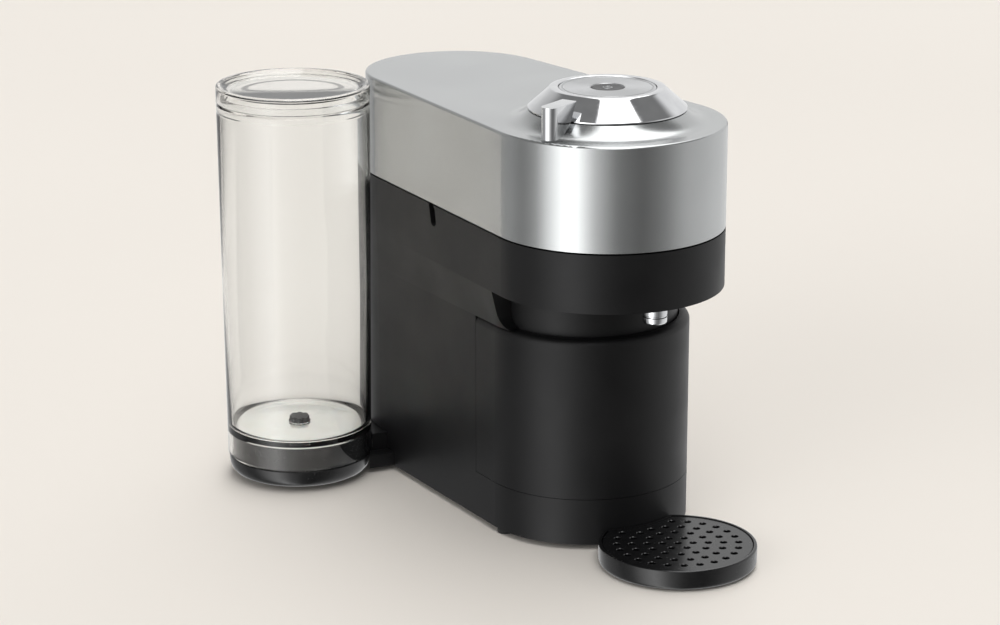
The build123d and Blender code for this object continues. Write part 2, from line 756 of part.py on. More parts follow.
def hinge_spine():
    """Fixed block in the tail that the head hinges on."""
    slab = block(-spine_half_w, spine_half_w, hinge_y - 3.0, big, 0, big)
    low = rod(rear_r - wall - press_gap, spine_bottom_z, body_top_z + 0.1, 0, axis_spacing)
    high = rod(rear_r, body_top_z + 0.1, hinge_z - knuckle_r - 1.5, 0, axis_spacing)
    spine = (low + high) & slab
    web = block(-spine_half_w, spine_half_w, hinge_y - 3.0, hinge_y + 4.0, hinge_z - knuckle_r - 2, hinge_z)
    spine += web + cross_rod(knuckle_r, -spine_half_w, spine_half_w, hinge_y, hinge_z)
    return spine - cross_rod(pin_r + run_gap, -big, big, hinge_y, hinge_z)


def hinge_pin():
    reach = spine_half_w + 0.6 + ear_t
    return cross_rod(pin_r, -reach, reach, hinge_y, hinge_z)


def injection_plate():
    """Spinning plate that grips the pod's rim; water enters through its needle."""
    top_z = plate_z + plate_t
    plate = rod(plate_r, plate_z, top_z) + rod(hub_r, top_z, hub_top_z)
    plate += Pos(0, 0, plate_z) * Rot(180, 0, 0) * Cone(needle_r, needle_tip_r, needle_l, align=on_end)
    hole = rod(plate_hole_r, plate_z - 1, top_z + 1, plate_r - 8.0, 0)
    for i in range(plate_holes):
        plate -= Rot(0, 0, 360 / plate_holes * i) * hole
    return plate - rod(needle_bore_r, 0, big)


def injection_seal():
    return tube(plate_r - 1.0, plate_r - 1.0 - seal_w, plate_z - seal_t, plate_z)


def injection_housing():
    """Cup over the injection plate that seats its bearing."""
    seat_low_z = housing_top_z - bearing_h - housing_wall - 1
    cup = tube(housing_r, housing_r - housing_wall, head_floor_z, housing_top_z)
    cup += rod(housing_r - 0.5, housing_top_z - housing_wall, housing_top_z)
    cup += rod(head_bearing_r + housing_wall, seat_low_z, housing_top_z)
    cup -= rod(head_bearing_r, seat_low_z - 1, housing_top_z - housing_wall)
    return cup - rod(hub_r + 1.0, 0, big)


def injection_bearing():
    top_z = housing_top_z - housing_wall
    return tube(head_bearing_r - press_gap, hub_r + run_gap, top_z - bearing_h, top_z)


def inlet_elbow():
    bend_z = elbow_z + elbow_h / 2
    elbow = rod(elbow_r, elbow_z, elbow_z + elbow_h) + bar_y(hose_bore_r, 0, elbow_reach, 0, bend_z)
    return elbow - rod(elbow_bore_r, elbow_z - 1, bend_z)


def head_hose():
    z = elbow_z + elbow_h / 2
    hose = bar_y(hose_r, elbow_r + 1.0, hinge_y - 22, 0, z)
    return hose - bar_y(hose_bore_r, 0, big, 0, z)


def lock_bell():
    """Bell under the knob whose lugs turn with the lever, open at the back for the hose."""
    foot_z = head_floor_z + 0.4
    bell = tube(lock_r, lock_r - lock_wall, foot_z, lock_top_z)
    bell += rod(lock_r, lock_top_z - lock_wall, lock_top_z)
    bell -= rod(lock_eye_r, 0, big)
    for i in range(lock_lugs):
        lug = block(lock_r - 1, lock_r + lug_out, -lug_half_w, lug_half_w, foot_z, foot_z + lug_h)
        bell += Rot(0, 0, 360 / lock_lugs * i + 30) * lug
    edges = [(big * cos(radians(turn)), big * sin(radians(turn))) for turn in hose_window]
    wedge = make_face(Polyline((0, 0), edges[1], (0, big), edges[0], close=True))
    return bell - prism(wedge, foot_z + 2 * lug_h, lock_top_z - lock_wall - 3)


# ---------------------------------------------------------------- knob
def cone_room():
    """Hollow inside the chrome cone."""
    top = knob_top_z - 4.4
    room_r = cone_r - 2.6
    return [(0, cone_z - 10), (room_r, cone_z - 10), (room_r, cone_z),
            (cone_top_r + 0.9, top + 0.6), (cone_top_r - 0.8, top), (0, top)]


def knob_ring():
    """Chrome cone with its lever."""
    ledge_z = knob_top_z - disc_drop - disc_t
    cone = lathe([(0, cone_z), (cone_r, cone_z), (cone_r, cone_z + 0.7),
                  (cone_top_r, knob_top_z), (0, knob_top_z)])
    cone -= lathe(cone_room())
    cone -= rod(disc_r + fit_gap, ledge_z, big)
    cone += tube(knob_hub_r, knob_hub_in_r, lock_top_z + 2 * press_gap, ledge_z - 1)
    cone -= rod(knob_hub_in_r, 0, big)
    plan = pill(lever_tip_r, -(lever_tip - lever_tip_r), lever_root_r, -lever_root)
    lever = prism(Rot(0, 0, lever_angle + 90) * plan, head_top_z, knob_top_z - 0.6)
    lever -= skirt_room()
    lever -= lathe(cone_room()) + rod(disc_r + fit_gap, 0, big)
    lever -= block(-big, big, -big, big, 0, head_top_z + 0.8)
    return cone + lever


def knob_disc():
    top_z = knob_top_z - disc_drop
    return tube(disc_r, button_r + fit_gap + press_gap, top_z - disc_t, top_z)


def brew_button():
    top_z = knob_top_z - button_drop
    low_z = top_z - button_h
    return rod(button_r, low_z, top_z) + rod(button_r + button_flange_w, low_z, low_z + button_flange_h)


def button_board():
    """Small board under the button with the switch that it presses."""
    top_z = knob_top_z - button_drop - button_h - button_travel - 0.4
    plate_top_z = top_z - 1.0 - switch_h
    board = rod(knob_hub_in_r - press_gap, plate_top_z - 1.6, plate_top_z)
    return board + block(-3, 3, -3, 3, plate_top_z, top_z - 1.0) + rod(switch_r, top_z - 1.0, top_z)


# ---------------------------------------------------------------- drip tray
def tray_back(offset):
    """The column's front, grown by offset: the tray's rear wall follows it."""
    return rod(body_front_r + offset, -10, big, 0, body_front_y)


def drip_tray():
    back = 2 * fit_gap
    ledge_w = tray_wall + tray_ledge
    ledge_z = tray_top_z - grid_drop - grid_t
    tray = rod(tray_r, tray_bottom_z, tray_top_z, 0, tray_y) - tray_back(back)
    room = rod(tray_r - ledge_w, tray_bottom_z + tray_floor_t, big, 0, tray_y) - tray_back(back + ledge_w)
    seat = rod(tray_r - tray_wall, ledge_z, big, 0, tray_y) - tray_back(back + tray_wall)
    tray = tray - room - seat
    wall_y = body_front_y - body_front_r - back
    tongue = block(-tongue_half_w, tongue_half_w, wall_y - 1.0, wall_y + wall + 5.0,
                   tongue_z, tongue_z + tongue_t)
    corner = tray_back(back) - tray_back(-wall - 4.0)
    return tray + (tongue & (corner + rod(tray_r, 0, big, 0, tray_y)))


def drip_grid():
    z1 = tray_top_z - grid_drop
    edge = tray_wall + fit_gap
    grid = rod(tray_r - edge, z1 - grid_t, z1, 0, tray_y) - tray_back(2 * fit_gap + edge)
    for ring_r, count in grid_rings:
        for i in range(count):
            angle = radians(360 / count * i - 90)
            x, y = ring_r * cos(angle), tray_y + ring_r * sin(angle)
            if hypot(x, y - body_front_y) > body_front_r + edge + grid_hole_r + grid_border:
                grid -= rod(grid_hole_r, z1 - grid_t - 1, z1 + 1, x, y)
    return grid


def tray_feet():
    places = [(0.0, tray_y - 32), (-28.0, tray_y + 12), (28.0, tray_y + 12)]
    return Compound(children=[rod(tray_foot_r, 0, tray_bottom_z, x, y) for x, y in places])


# ---------------------------------------------------------------- water tank and its arm
def along_arm(shape):
    """From the arm's own frame, swivel axis at the origin and tank on +X, to its rest place."""
    return Pos(0, axis_spacing, 0) * Rot(0, 0, arm_angle) * shape


def tank_arm():
    drum = tube(drum_r, drum_r - drum_wall, hub_floor_z, arm_top_z)
    drum += rod(drum_r, hub_floor_z, hub_floor_z + hub_floor_t)
    high = block(drum_r - 1, arm_r, -arm_half_w, arm_half_w, arm_low_top_z - 0.1, arm_top_z)
    low = block(rear_r - wall, arm_r, -arm_low_half_w, arm_low_half_w, base_z + 0.2, arm_low_top_z)
    low -= rod(rear_r + 2 * fit_gap, 0, hub_floor_z)
    low -= rod(rear_r - wall + 0.5, 0, big) - block(0, big, -arm_half_w, arm_half_w, hub_floor_z, big)
    low += block(drum_r - 1, rear_r, -arm_half_w, arm_half_w, hub_floor_z, arm_low_top_z)
    arm = drum + high + low + rod(spigot_r, hub_floor_z, spigot_top_z)
    arm -= rod(base_skirt_r + 0.1, 0, big, arm_r, 0)
    arm -= rod(tank_foot_r + 0.8, base_ring_z - 0.2, big, arm_r, 0)
    arm -= rod(4.0, hub_floor_z + 2.0, big)
    return along_arm(arm - cross_rod(arm_hose_r + press_gap, 0, arm_r, 0, arm_hose_z))


def arm_hose():
    x0, x1 = 4.2, arm_r - base_skirt_r + 8.0
    hose = cross_rod(arm_hose_r, x0, x1, 0, arm_hose_z)
    return along_arm(hose - cross_rod(arm_hose_bore_r, 0, big, 0, arm_hose_z))


def tank_base():
    """Round stand of the tank: a bowl under a raised plug that fits the tank's foot."""
    stand = lathe([
        (0, base_z), (base_foot_r, base_z), (base_foot_r + 2.4, base_z + 1.6),
        (base_skirt_r - 0.6, base_z + 5.6), (base_skirt_r, base_z + 8.5), (base_skirt_r, base_ring_z),
        (plug_r, base_ring_z),
        (plug_r, plug_top_z), (0, plug_top_z)])
    room_r, room_top_z = plug_r - 2.4, plug_top_z - 2.2
    room = lathe([
        (0, base_z + base_t), (base_foot_r - 1, base_z + base_t), (room_r, base_z + 8.0),
        (room_r, room_top_z), (0, room_top_z)])
    stand = stand - room - rod(plug_hole_r, room_top_z - 1, big)
    stand -= cross_rod(arm_hose_r + press_gap, -big, 0, 0, arm_hose_z)
    return along_arm(Pos(arm_r, 0, 0) * stand)


def tank_coupler():
    """Spring-loaded nipple in the stand that opens the tank's valve."""
    top = tank_floor_z - 0.4
    body = rod(plug_hole_r - 0.2, top - 9.0, top - 2.5) + rod(2.2, top - 2.5, top)
    return along_arm(Pos(arm_r, 0, 0) * (body - rod(1.2, 0, big)))


def tank_foot_pads():
    """Three pads under the stand."""
    pads = []
    for turn in (60, 180, 300):
        x, y = pad_circle_r * cos(radians(turn)), pad_circle_r * sin(radians(turn))
        pads.append(along_arm(rod(foot_r, 0, base_z, arm_r + x, y)))
    return Compound(children=pads)


def water_tank():
    """Clear beaker with a skirt below its floor."""
    slope = (tank_top_r - tank_foot_r) / (tank_rim_z - tank_foot_z)

    def r_at(z):
        return tank_foot_r + slope * (z - tank_foot_z)

    neck_in_r, floor_top_z = tank_neck_r - tank_wall, tank_floor_z + tank_floor_t
    tank = lathe([
        (tank_foot_r, tank_foot_z), (r_at(tank_rim_z - 3), tank_rim_z - 3), (tank_neck_r, tank_rim_z - 1.5),
        (tank_neck_r, tank_rim_z + neck_h), (neck_in_r, tank_rim_z + neck_h), (neck_in_r, tank_rim_z - 4),
        (r_at(tank_floor_z + 4) - tank_wall, tank_floor_z + 4),
        (r_at(tank_floor_z) - tank_wall - 2, floor_top_z), (valve_r + 0.1, floor_top_z),
        (valve_r + 0.1, tank_floor_z), (r_at(tank_floor_z) - tank_wall, tank_floor_z),
        (tank_foot_r - tank_wall, tank_foot_z)])
    return along_arm(Pos(arm_r, 0, 0) * tank)


def tank_valve():
    """Scalloped valve in the middle of the tank's floor."""
    nipple_room_r = 2.6
    valve = rod(valve_r, tank_floor_z, tank_floor_z + valve_h) - rod(nipple_room_r, 0, tank_floor_z + 1.0)
    scallop = rod(scallop_r, tank_floor_z + valve_h / 2 + 0.1, big, valve_r, 0)
    for i in range(valve_scallops):
        valve -= Rot(0, 0, 360 / valve_scallops * i) * scallop
    return along_arm(Pos(arm_r, 0, 0) * valve)


def tank_lid():
    """Lid with a deep rim and a sunk disc."""
    z0, z1 = tank_rim_z, lid_top_z
    disc_z = z1 - lid_sink
    lid = lathe([
        (lid_r, z0), (lid_r, z1 - 1.2), (lid_r - 1.2, z1), (lid_r - 3.4, z1), (lid_r - 7.0, disc_z),
        (0, disc_z), (0, disc_z - lid_wall), (lid_r - 7.6, disc_z - lid_wall),
        (lid_r - 4.0, z1 - lid_wall), (lid_r - lid_wall, z1 - lid_wall), (lid_r - lid_wall, z0)])
    return along_arm(Pos(arm_r, 0, 0) * lid)


# ---------------------------------------------------------------- rear bay
def rotary_union():
    """Fixed cap over the spigot that passes the water on to the pump."""
    low_z = rear_floor_z + rear_floor_t + bush_flange_t + 2 * press_gap
    cap = rod(spigot_r + bush_wall, low_z, union_top_z, 0, axis_spacing)
    cap -= rod(spigot_r + run_gap, 0, spigot_top_z + 0.5, 0, axis_spacing)
    cap += rod(hose_bore_r + 1.0, union_top_z, union_top_z + nipple_h, 0, axis_spacing)
    return cap - rod(hose_bore_r - 0.5, 0, big, 0, axis_spacing)


def flow_meter():
    """Round meter with its outlet on top and its plug socket at the back."""
    top_z = meter_z + meter_h
    meter = rod(meter_r, meter_z, top_z, 0, axis_spacing)
    meter += rod(hose_r + 0.2, top_z, top_z + nipple_h, 0, axis_spacing)
    back_y = axis_spacing + meter_r
    return meter + block(-5, 5, back_y - 2, back_y + 4, meter_z + 2, top_z - 2)


def pump_body():
    """Vibration pump: core tube with its two end fittings."""
    z0, z1 = pump_bottom_z, pump_top_z
    core = rod(pump_core_r, z0, z1, pump_x, pump_y)
    core += rod(fitting_r, z0 - fitting_l, z0, pump_x, pump_y)
    core += rod(fitting_r, z1, z1 + fitting_l, pump_x, pump_y)
    core += rod(pump_end_r, z0, z0 + pump_end_t, pump_x, pump_y)
    core += rod(pump_end_r, z1 - pump_end_t, z1, pump_x, pump_y)
    core -= rod(piston_r + run_gap, z0 + cylinder_end, z1 - cylinder_end, pump_x, pump_y)
    return core - rod(hose_bore_r, 0, big, pump_x, pump_y)


def pump_coil():
    margin = pump_end_t + 8.2
    return tube(pump_r, pump_core_r + press_gap, pump_bottom_z + margin, pump_top_z - margin, pump_x, pump_y)


def pump_bracket():
    """Iron frame round the coil that stands on the chassis floor."""
    low_z, high_z = pump_bottom_z + pump_end_t + 6.2, pump_top_z - pump_end_t - 6.2
    x0, x1 = pump_x - bracket_half_w, pump_x + bracket_half_w
    side = pump_r + 0.2
    edge = side + bracket_t
    strap = block(x0, x1, pump_y - edge, pump_y + edge, low_z, high_z)
    strap -= block(x0 - 1, x1 + 1, pump_y - side, pump_y + side,
                   low_z + bracket_t - 0.1, high_z - bracket_t + 0.1)
    for y0 in (pump_y - edge, pump_y + side):
        strap += block(x0, x1, y0, y0 + bracket_t, rear_floor_z + rear_floor_t + 0.1, low_z + bracket_t)
    return strap - rod(pump_core_r + press_gap, 0, big, pump_x, pump_y)


def pump_piston():
    low_z = pump_bottom_z + cylinder_end + spring_l + 2 * press_gap
    return tube(piston_r, hose_bore_r, low_z, pump_top_z - cylinder_end - 0.5, pump_x, pump_y)


def pump_spring():
    """Return spring under the piston, kept as a plain sleeve."""
    z0 = pump_bottom_z + cylinder_end
    return tube(piston_r - 0.5, piston_r - 1.6, z0 + 0.1, z0 + spring_l, pump_x, pump_y)


def thermoblock():
    """Cast water heater with its inlet and outlet on top."""
    dx, dy, _ = heater_size
    x0, y0 = heater_x - dx / 2, heater_y - dy / 2
    corner_r, groove = 6.0, 1.2
    casting = block(x0, x0 + dx, y0, y0 + dy, heater_z, heater_top_z)
    casting = fillet(casting.edges().filter_by(Axis.Z), corner_r)
    for i in range(heater_fins):
        y = y0 + 8 + fin_pitch * i
        casting -= block(x0 - 1, x0 + groove, y, y + fin_w, heater_z + 5, heater_top_z - 5)
    for y in (heater_y - heater_port, heater_y + heater_port):
        casting += rod(fitting_r, heater_top_z, heater_top_z + heater_port_h, heater_x, y)
    return casting


def board(x0, x1, y0, y1, z0, z1, parts):
    plate = block(x0, x1, y0, y1, z0, z1)
    for part in parts:
        plate += block(*part)
    return plate


def power_board():
    x1 = rear_r - wall - 5.5
    y0 = axis_spacing - 6.0
    parts = [(x1 - 11, x1 - 1.5, y0 + 3, y0 + 12, 60, 76), (x1 - 12, x1 - 1.5, y0 + 2, y0 + 14, 84, 100)]
    return board(x1 - 1.6, x1, y0, y0 + 20, 56, 108, parts)


def control_board():
    z0 = base_z + base_t + 5.0
    parts = [(-8, 8, 20, 36, z0 + 1.5, z0 + 4.5), (-26, -16, 0, 22, z0 + 1.5, z0 + 9),
             (14, 28, 44, 50, z0 + 1.5, z0 + 8)]
    return board(-34, 34, -12, 72, z0, z0 + 1.6, parts)


def tube_run(points, r_out, r_in, bend):
    """A hose along straight runs with round bends."""
    path = FilletPolyline(*points, radius=bend)
    section = Plane(origin=path @ 0, z_dir=path % 0)
    return sweep(section * Circle(r_out), path=path) - sweep(section * Circle(r_in), path=path)


def feed_hose():
    """From the flow meter round the coil's bracket to the foot of the pump."""
    meter_top_z = meter_z + meter_h + nipple_h + 0.2
    over_z = meter_top_z + 12
    low_z = rear_floor_z + rear_floor_t + hose_r + 0.5
    side_x, back_y = pump_x - pump_r - 1.0, axis_spacing - 8.0
    return tube_run([(0, axis_spacing, meter_top_z), (0, axis_spacing, over_z), (side_x, back_y, over_z),
                     (side_x, back_y, low_z), (side_x, pump_y, low_z), (pump_x, pump_y, low_z),
                     (pump_x, pump_y, pump_bottom_z - fitting_l - 0.2)], hose_r, hose_bore_r, 5.0)


def pressure_hose():
    """From the head of the pump across to the heater."""
    z0 = pump_top_z + fitting_l + 0.2
    inlet_y = heater_y - heater_port
    return tube_run([(pump_x, pump_y, z0), (pump_x, pump_y, z0 + 12), (heater_x, inlet_y, z0 + 12),
                     (heater_x, inlet_y, heater_top_z + heater_port_h + 0.2)], hose_r, hose_bore_r, 6.0)


def outlet_hose():
    """From the heater up to the deck beside the hinge."""
    z0 = heater_top_z + heater_port_h + 0.2
    outlet_y, rise_y = heater_y + heater_port, hinge_y - 14
    return tube_run([(heater_x, outlet_y, z0), (heater_x, outlet_y, z0 + 16), (heater_x, rise_y, z0 + 16),
                     (heater_x, rise_y, deck_z - deck_t - 1.0)], hose_r, hose_bore_r, 6.0)


def water_hoses():
    return Compound(children=[feed_hose(), pressure_hose(), outlet_hose()])


nodes = {
    "body_shell": body_shell, "base_plate": base_plate, "base_screws": base_screws, "feet": feet,
    "chassis_shelf": chassis_shelf, "chassis_bulkhead": chassis_bulkhead,
    "chassis_floor": chassis_floor, "swivel_bush": swivel_bush, "mains_gland": mains_gland, "deck": deck,
    "pod_chute": pod_chute, "pod_container": pod_container,
    "brew_frame": brew_frame, "motor_stator": motor_stator, "motor_coils": motor_coils,
    "motor_rotor": motor_rotor, "motor_cover": motor_cover, "rotor_shaft": rotor_shaft,
    "rotor_bearing": rotor_bearing, "pod_cage": pod_cage, "coffee_gutter": coffee_gutter,
    "coffee_spout": coffee_spout, "code_reader": code_reader,
    "head_shell": head_shell, "head_base": head_base, "hinge_spine": hinge_spine, "hinge_pin": hinge_pin,
    "injection_plate": injection_plate, "injection_seal": injection_seal,
    "injection_housing": injection_housing, "injection_bearing": injection_bearing,
    "inlet_elbow": inlet_elbow, "head_hose": head_hose, "lock_bell": lock_bell,
    "knob_ring": knob_ring, "knob_disc": knob_disc, "brew_button": brew_button, "button_board": button_board,
    "drip_tray": drip_tray, "drip_grid": drip_grid, "tray_feet": tray_feet,
    "tank_arm": tank_arm, "arm_hose": arm_hose, "tank_base": tank_base, "tank_coupler": tank_coupler,
    "tank_foot_pads": tank_foot_pads, "water_tank": water_tank, "tank_valve": tank_valve,
    "tank_lid": tank_lid,
    "rotary_union": rotary_union, "flow_meter": flow_meter, "pump_body": pump_body, "pump_coil": pump_coil,
    "pump_bracket": pump_bracket, "pump_piston": pump_piston, "pump_spring": pump_spring,
    "thermoblock": thermoblock, "power_board": power_board,
    "control_board": control_board, "water_hoses": water_hoses,
}

os.makedirs("parts", exist_ok=True)
for name, make in nodes.items():
    export_step(make(), f"parts/{name}.step")
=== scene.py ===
import bpy
import json
from math import cos, hypot, pi, radians, sin
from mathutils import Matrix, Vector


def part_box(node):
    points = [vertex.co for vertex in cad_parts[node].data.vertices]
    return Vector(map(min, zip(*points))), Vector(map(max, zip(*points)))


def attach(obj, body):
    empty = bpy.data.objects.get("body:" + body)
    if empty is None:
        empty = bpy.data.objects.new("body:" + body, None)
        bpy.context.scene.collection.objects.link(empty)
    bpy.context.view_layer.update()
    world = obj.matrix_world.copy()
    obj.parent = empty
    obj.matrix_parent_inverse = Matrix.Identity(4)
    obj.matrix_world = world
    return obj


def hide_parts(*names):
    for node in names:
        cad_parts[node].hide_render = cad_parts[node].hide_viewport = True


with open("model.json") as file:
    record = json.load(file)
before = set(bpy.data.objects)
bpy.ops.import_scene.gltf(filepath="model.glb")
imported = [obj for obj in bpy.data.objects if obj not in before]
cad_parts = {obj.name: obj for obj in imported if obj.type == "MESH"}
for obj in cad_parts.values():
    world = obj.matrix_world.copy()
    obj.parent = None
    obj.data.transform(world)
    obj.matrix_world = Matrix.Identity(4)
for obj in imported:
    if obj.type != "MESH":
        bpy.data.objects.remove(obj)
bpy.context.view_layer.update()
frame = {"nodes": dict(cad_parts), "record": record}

nodes = frame["nodes"]
mm = 0.001


# small helpers

def say(stage):
    print("coffee machine:", stage)


def deselectAll():
    active = bpy.context.view_layer.objects.active
    if active and active.mode != "OBJECT":
        bpy.ops.object.mode_set(mode="OBJECT")
    bpy.ops.object.select_all(action="DESELECT")


def makeActive(piece):
    deselectAll()
    piece.select_set(True)
    bpy.context.view_layer.objects.active = piece


def startEditing(piece, part):  # part is VERT, EDGE or FACE
    makeActive(piece)
    bpy.ops.object.mode_set(mode="EDIT")
    bpy.ops.mesh.select_mode(type=part)
    bpy.ops.mesh.select_all(action="DESELECT")


def selectVerts(piece, wanted):
    startEditing(piece, "VERT")
    bpy.ops.object.mode_set(mode="OBJECT")
    for vert in piece.data.vertices:
        vert.select = wanted(vert.co)
    bpy.ops.object.mode_set(mode="EDIT")


def selectFaces(piece, wanted):
    startEditing(piece, "FACE")
    bpy.ops.object.mode_set(mode="OBJECT")
    for face in piece.data.polygons:
        face.select = wanted(face.center, face.normal)
    bpy.ops.object.mode_set(mode="EDIT")


def selectEdges(piece, wanted):
    startEditing(piece, "EDGE")
    bpy.ops.object.mode_set(mode="OBJECT")
    verts = piece.data.vertices
    for edge in piece.data.edges:
        edge.select = wanted(verts[edge.vertices[0]].co, verts[edge.vertices[1]].co)
    bpy.ops.object.mode_set(mode="EDIT")


def applyPlace(piece):
    makeActive(piece)
    bpy.ops.object.transform_apply(location=True, rotation=True, scale=True)


def useModifier(piece, kind, settings):
    makeActive(piece)
    modifier = piece.modifiers.new(kind.lower(), kind)
    for key, value in settings.items():
        setattr(modifier, key, value)
    bpy.ops.object.modifier_apply(modifier=modifier.name)


def cutWith(piece, cutter, operation="DIFFERENCE"):
    useModifier(piece, "BOOLEAN", {"object": cutter, "operation": operation, "solver": "EXACT"})
    bpy.data.objects.remove(cutter)


def faceOutwards(piece):
    startEditing(piece, "VERT")
    bpy.ops.mesh.select_all(action="SELECT")
    bpy.ops.mesh.remove_doubles(threshold=0.004 * mm)
    bpy.ops.mesh.normals_make_consistent(inside=False)
    bpy.ops.object.mode_set(mode="OBJECT")


def settle(piece, name, finish, body, stands=(), sharp=35):
    # last touches that every new piece gets
    piece.name = name
    piece.data.name = name
    applyPlace(piece)
    piece.data.materials.clear()
    piece.data.materials.append(finish)
    bpy.ops.object.shade_smooth_by_angle(angle=radians(sharp))
    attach(piece, body)
    if stands:
        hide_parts(*stands)
    deselectAll()
    return piece


def turned(rings, centre=(0, 0), sides=160, bored=False):
    # a round piece drawn ring by ring from (radius, height) pairs; bored ones close on their first ring
    deselectAll()
    x, y = centre
    radius, height = rings[0]
    fill = "NOTHING" if bored else "NGON"
    bpy.ops.mesh.primitive_circle_add(vertices=sides, radius=radius * mm, fill_type=fill,
                                      location=(x, y, height * mm))
    piece = bpy.context.object
    bpy.ops.object.mode_set(mode="EDIT")
    bpy.ops.mesh.select_all(action="SELECT")
    for nextRadius, nextHeight in rings[1:]:
        rise = (nextHeight - height) * mm
        bpy.ops.mesh.extrude_region_move(TRANSFORM_OT_translate={"value": (0, 0, rise)})
        grow = nextRadius / radius
        bpy.ops.transform.resize(value=(grow, grow, 1), center_override=(x, y, nextHeight * mm))
        radius, height = nextRadius, nextHeight
    bpy.ops.object.mode_set(mode="OBJECT")
    applyPlace(piece)
    faceOutwards(piece)
    return piece


def roundCorner(centre, radius, start, end, steps=4):
    # (radius, height) pairs round an edge, angles in degrees from the outward direction
    turns = [radians(start + (end - start) * i / steps) for i in range(steps + 1)]
    return [(centre[0] + radius * cos(a), centre[1] + radius * sin(a)) for a in turns]


def tangentPlate(first, second, height, sides=192):
    # flat plate round two circles, each ((x, y), radius) in mm, with straight flanks that touch both
    (ax, ay), ar = first
    (bx, by), br = second
    length = hypot(bx - ax, by - ay)
    along = ((bx - ax) / length, (by - ay) / length)
    lean = (ar - br) / length
    deselectAll()
    bpy.ops.mesh.primitive_circle_add(vertices=sides, radius=ar * mm,
                                      location=(ax * mm, ay * mm, height * mm))
    piece = bpy.context.object
    applyPlace(piece)

    def past(co):
        return (co.x / mm - ax) * along[0] + (co.y / mm - ay) * along[1]

    selectVerts(piece, lambda co: past(co) > ar * lean + 0.001)
    bpy.ops.mesh.delete(type="VERT")
    bpy.ops.mesh.primitive_circle_add(vertices=sides, radius=br * mm,
                                      location=(bx * mm, by * mm, height * mm))
    bpy.ops.object.mode_set(mode="OBJECT")
    selectVerts(piece, lambda co: ar * lean + 0.001 < past(co) < length + br * lean - 0.001)
    bpy.ops.mesh.delete(type="VERT")
    bpy.ops.mesh.select_all(action="SELECT")
    bpy.ops.mesh.bridge_edge_loops()
    bpy.ops.object.mode_set(mode="OBJECT")
    return piece


def raisePlate(piece, height):
    selectFaces(piece, lambda centre, normal: True)
    bpy.ops.mesh.extrude_region_move(TRANSFORM_OT_translate={"value": (0, 0, height * mm)})
    bpy.ops.object.mode_set(mode="OBJECT")
    faceOutwards(piece)
    return piece


def bevelWhere(piece, wanted, width, steps=3):
    selectEdges(piece, wanted)
    bpy.ops.mesh.bevel(offset=width * mm, segments=steps, affect="EDGES", clamp_overlap=True)
    bpy.ops.object.mode_set(mode="OBJECT")


def middleOf(node):
    low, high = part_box(node)
    return (low + high) / 2


# finishes

def toLinear(hexColour):
    shares = [int(hexColour[i:i + 2], 16) / 255 for i in (1, 3, 5)]
    return [s / 12.92 if s <= 0.04045 else ((s + 0.055) / 1.055) ** 2.4 for s in shares] + [1.0]


def perSize(size):
    return 1 / (size * mm)  # texture scale for a pattern of that size in mm


waveTurn = 20  # a wave texture's radians to the unit, which sets bands six or seven sizes apart to show


def addNode(tree, kind, settings=None, links=None):
    node = tree.nodes.new(kind)
    for key, value in (settings or {}).items():
        if isinstance(key, int) or key in node.inputs:
            node.inputs[key].default_value = value
        else:
            setattr(node, key, value)
    for socket, source in (links or {}).items():
        tree.links.new(source, node.inputs[socket])
    return node


def startFinish(name, surface):
    finish = bpy.data.materials.new(name)
    finish.use_nodes = True
    tree = finish.node_tree
    tree.nodes.clear()
    shader = addNode(tree, "ShaderNodeBsdfPrincipled", surface)
    addNode(tree, "ShaderNodeOutputMaterial", links={"Surface": shader.outputs["BSDF"]})
    place = addNode(tree, "ShaderNodeTexCoord")
    return finish, tree, shader, place.outputs["Object"]


def colourBetween(tree, shader, source, values, low=0.3, high=0.7):
    # the base colour runs from dark to light as the pattern goes from low to high
    ramp = addNode(tree, "ShaderNodeValToRGB", links={"Fac": source})
    for stop, place, name in zip(ramp.color_ramp.elements, (low, high), ("dark", "light")):
        stop.position = place
        stop.color = toLinear(values[name])
    tree.links.new(ramp.outputs["Color"], shader.inputs["Base Color"])


def roughBetween(tree, shader, source, values, low=0.3, high=0.7):
    # the roughness runs through the finish's own range as the pattern goes from low to high
    smooth, rough = values["rough"]
    node = addNode(tree, "ShaderNodeMapRange", {"From Min": low, "From Max": high,
                                                "To Min": smooth, "To Max": rough}, {"Value": source})
    tree.links.new(node.outputs["Result"], shader.inputs["Roughness"])


def relief(tree, shader, source, values):
    # the pattern as real height in mm, and how strongly it shows
    depth, strength = values["relief"]
    bump = addNode(tree, "ShaderNodeBump", {"Strength": strength, "Distance": depth * mm}, {"Height": source})
    tree.links.new(bump.outputs["Normal"], shader.inputs["Normal"])


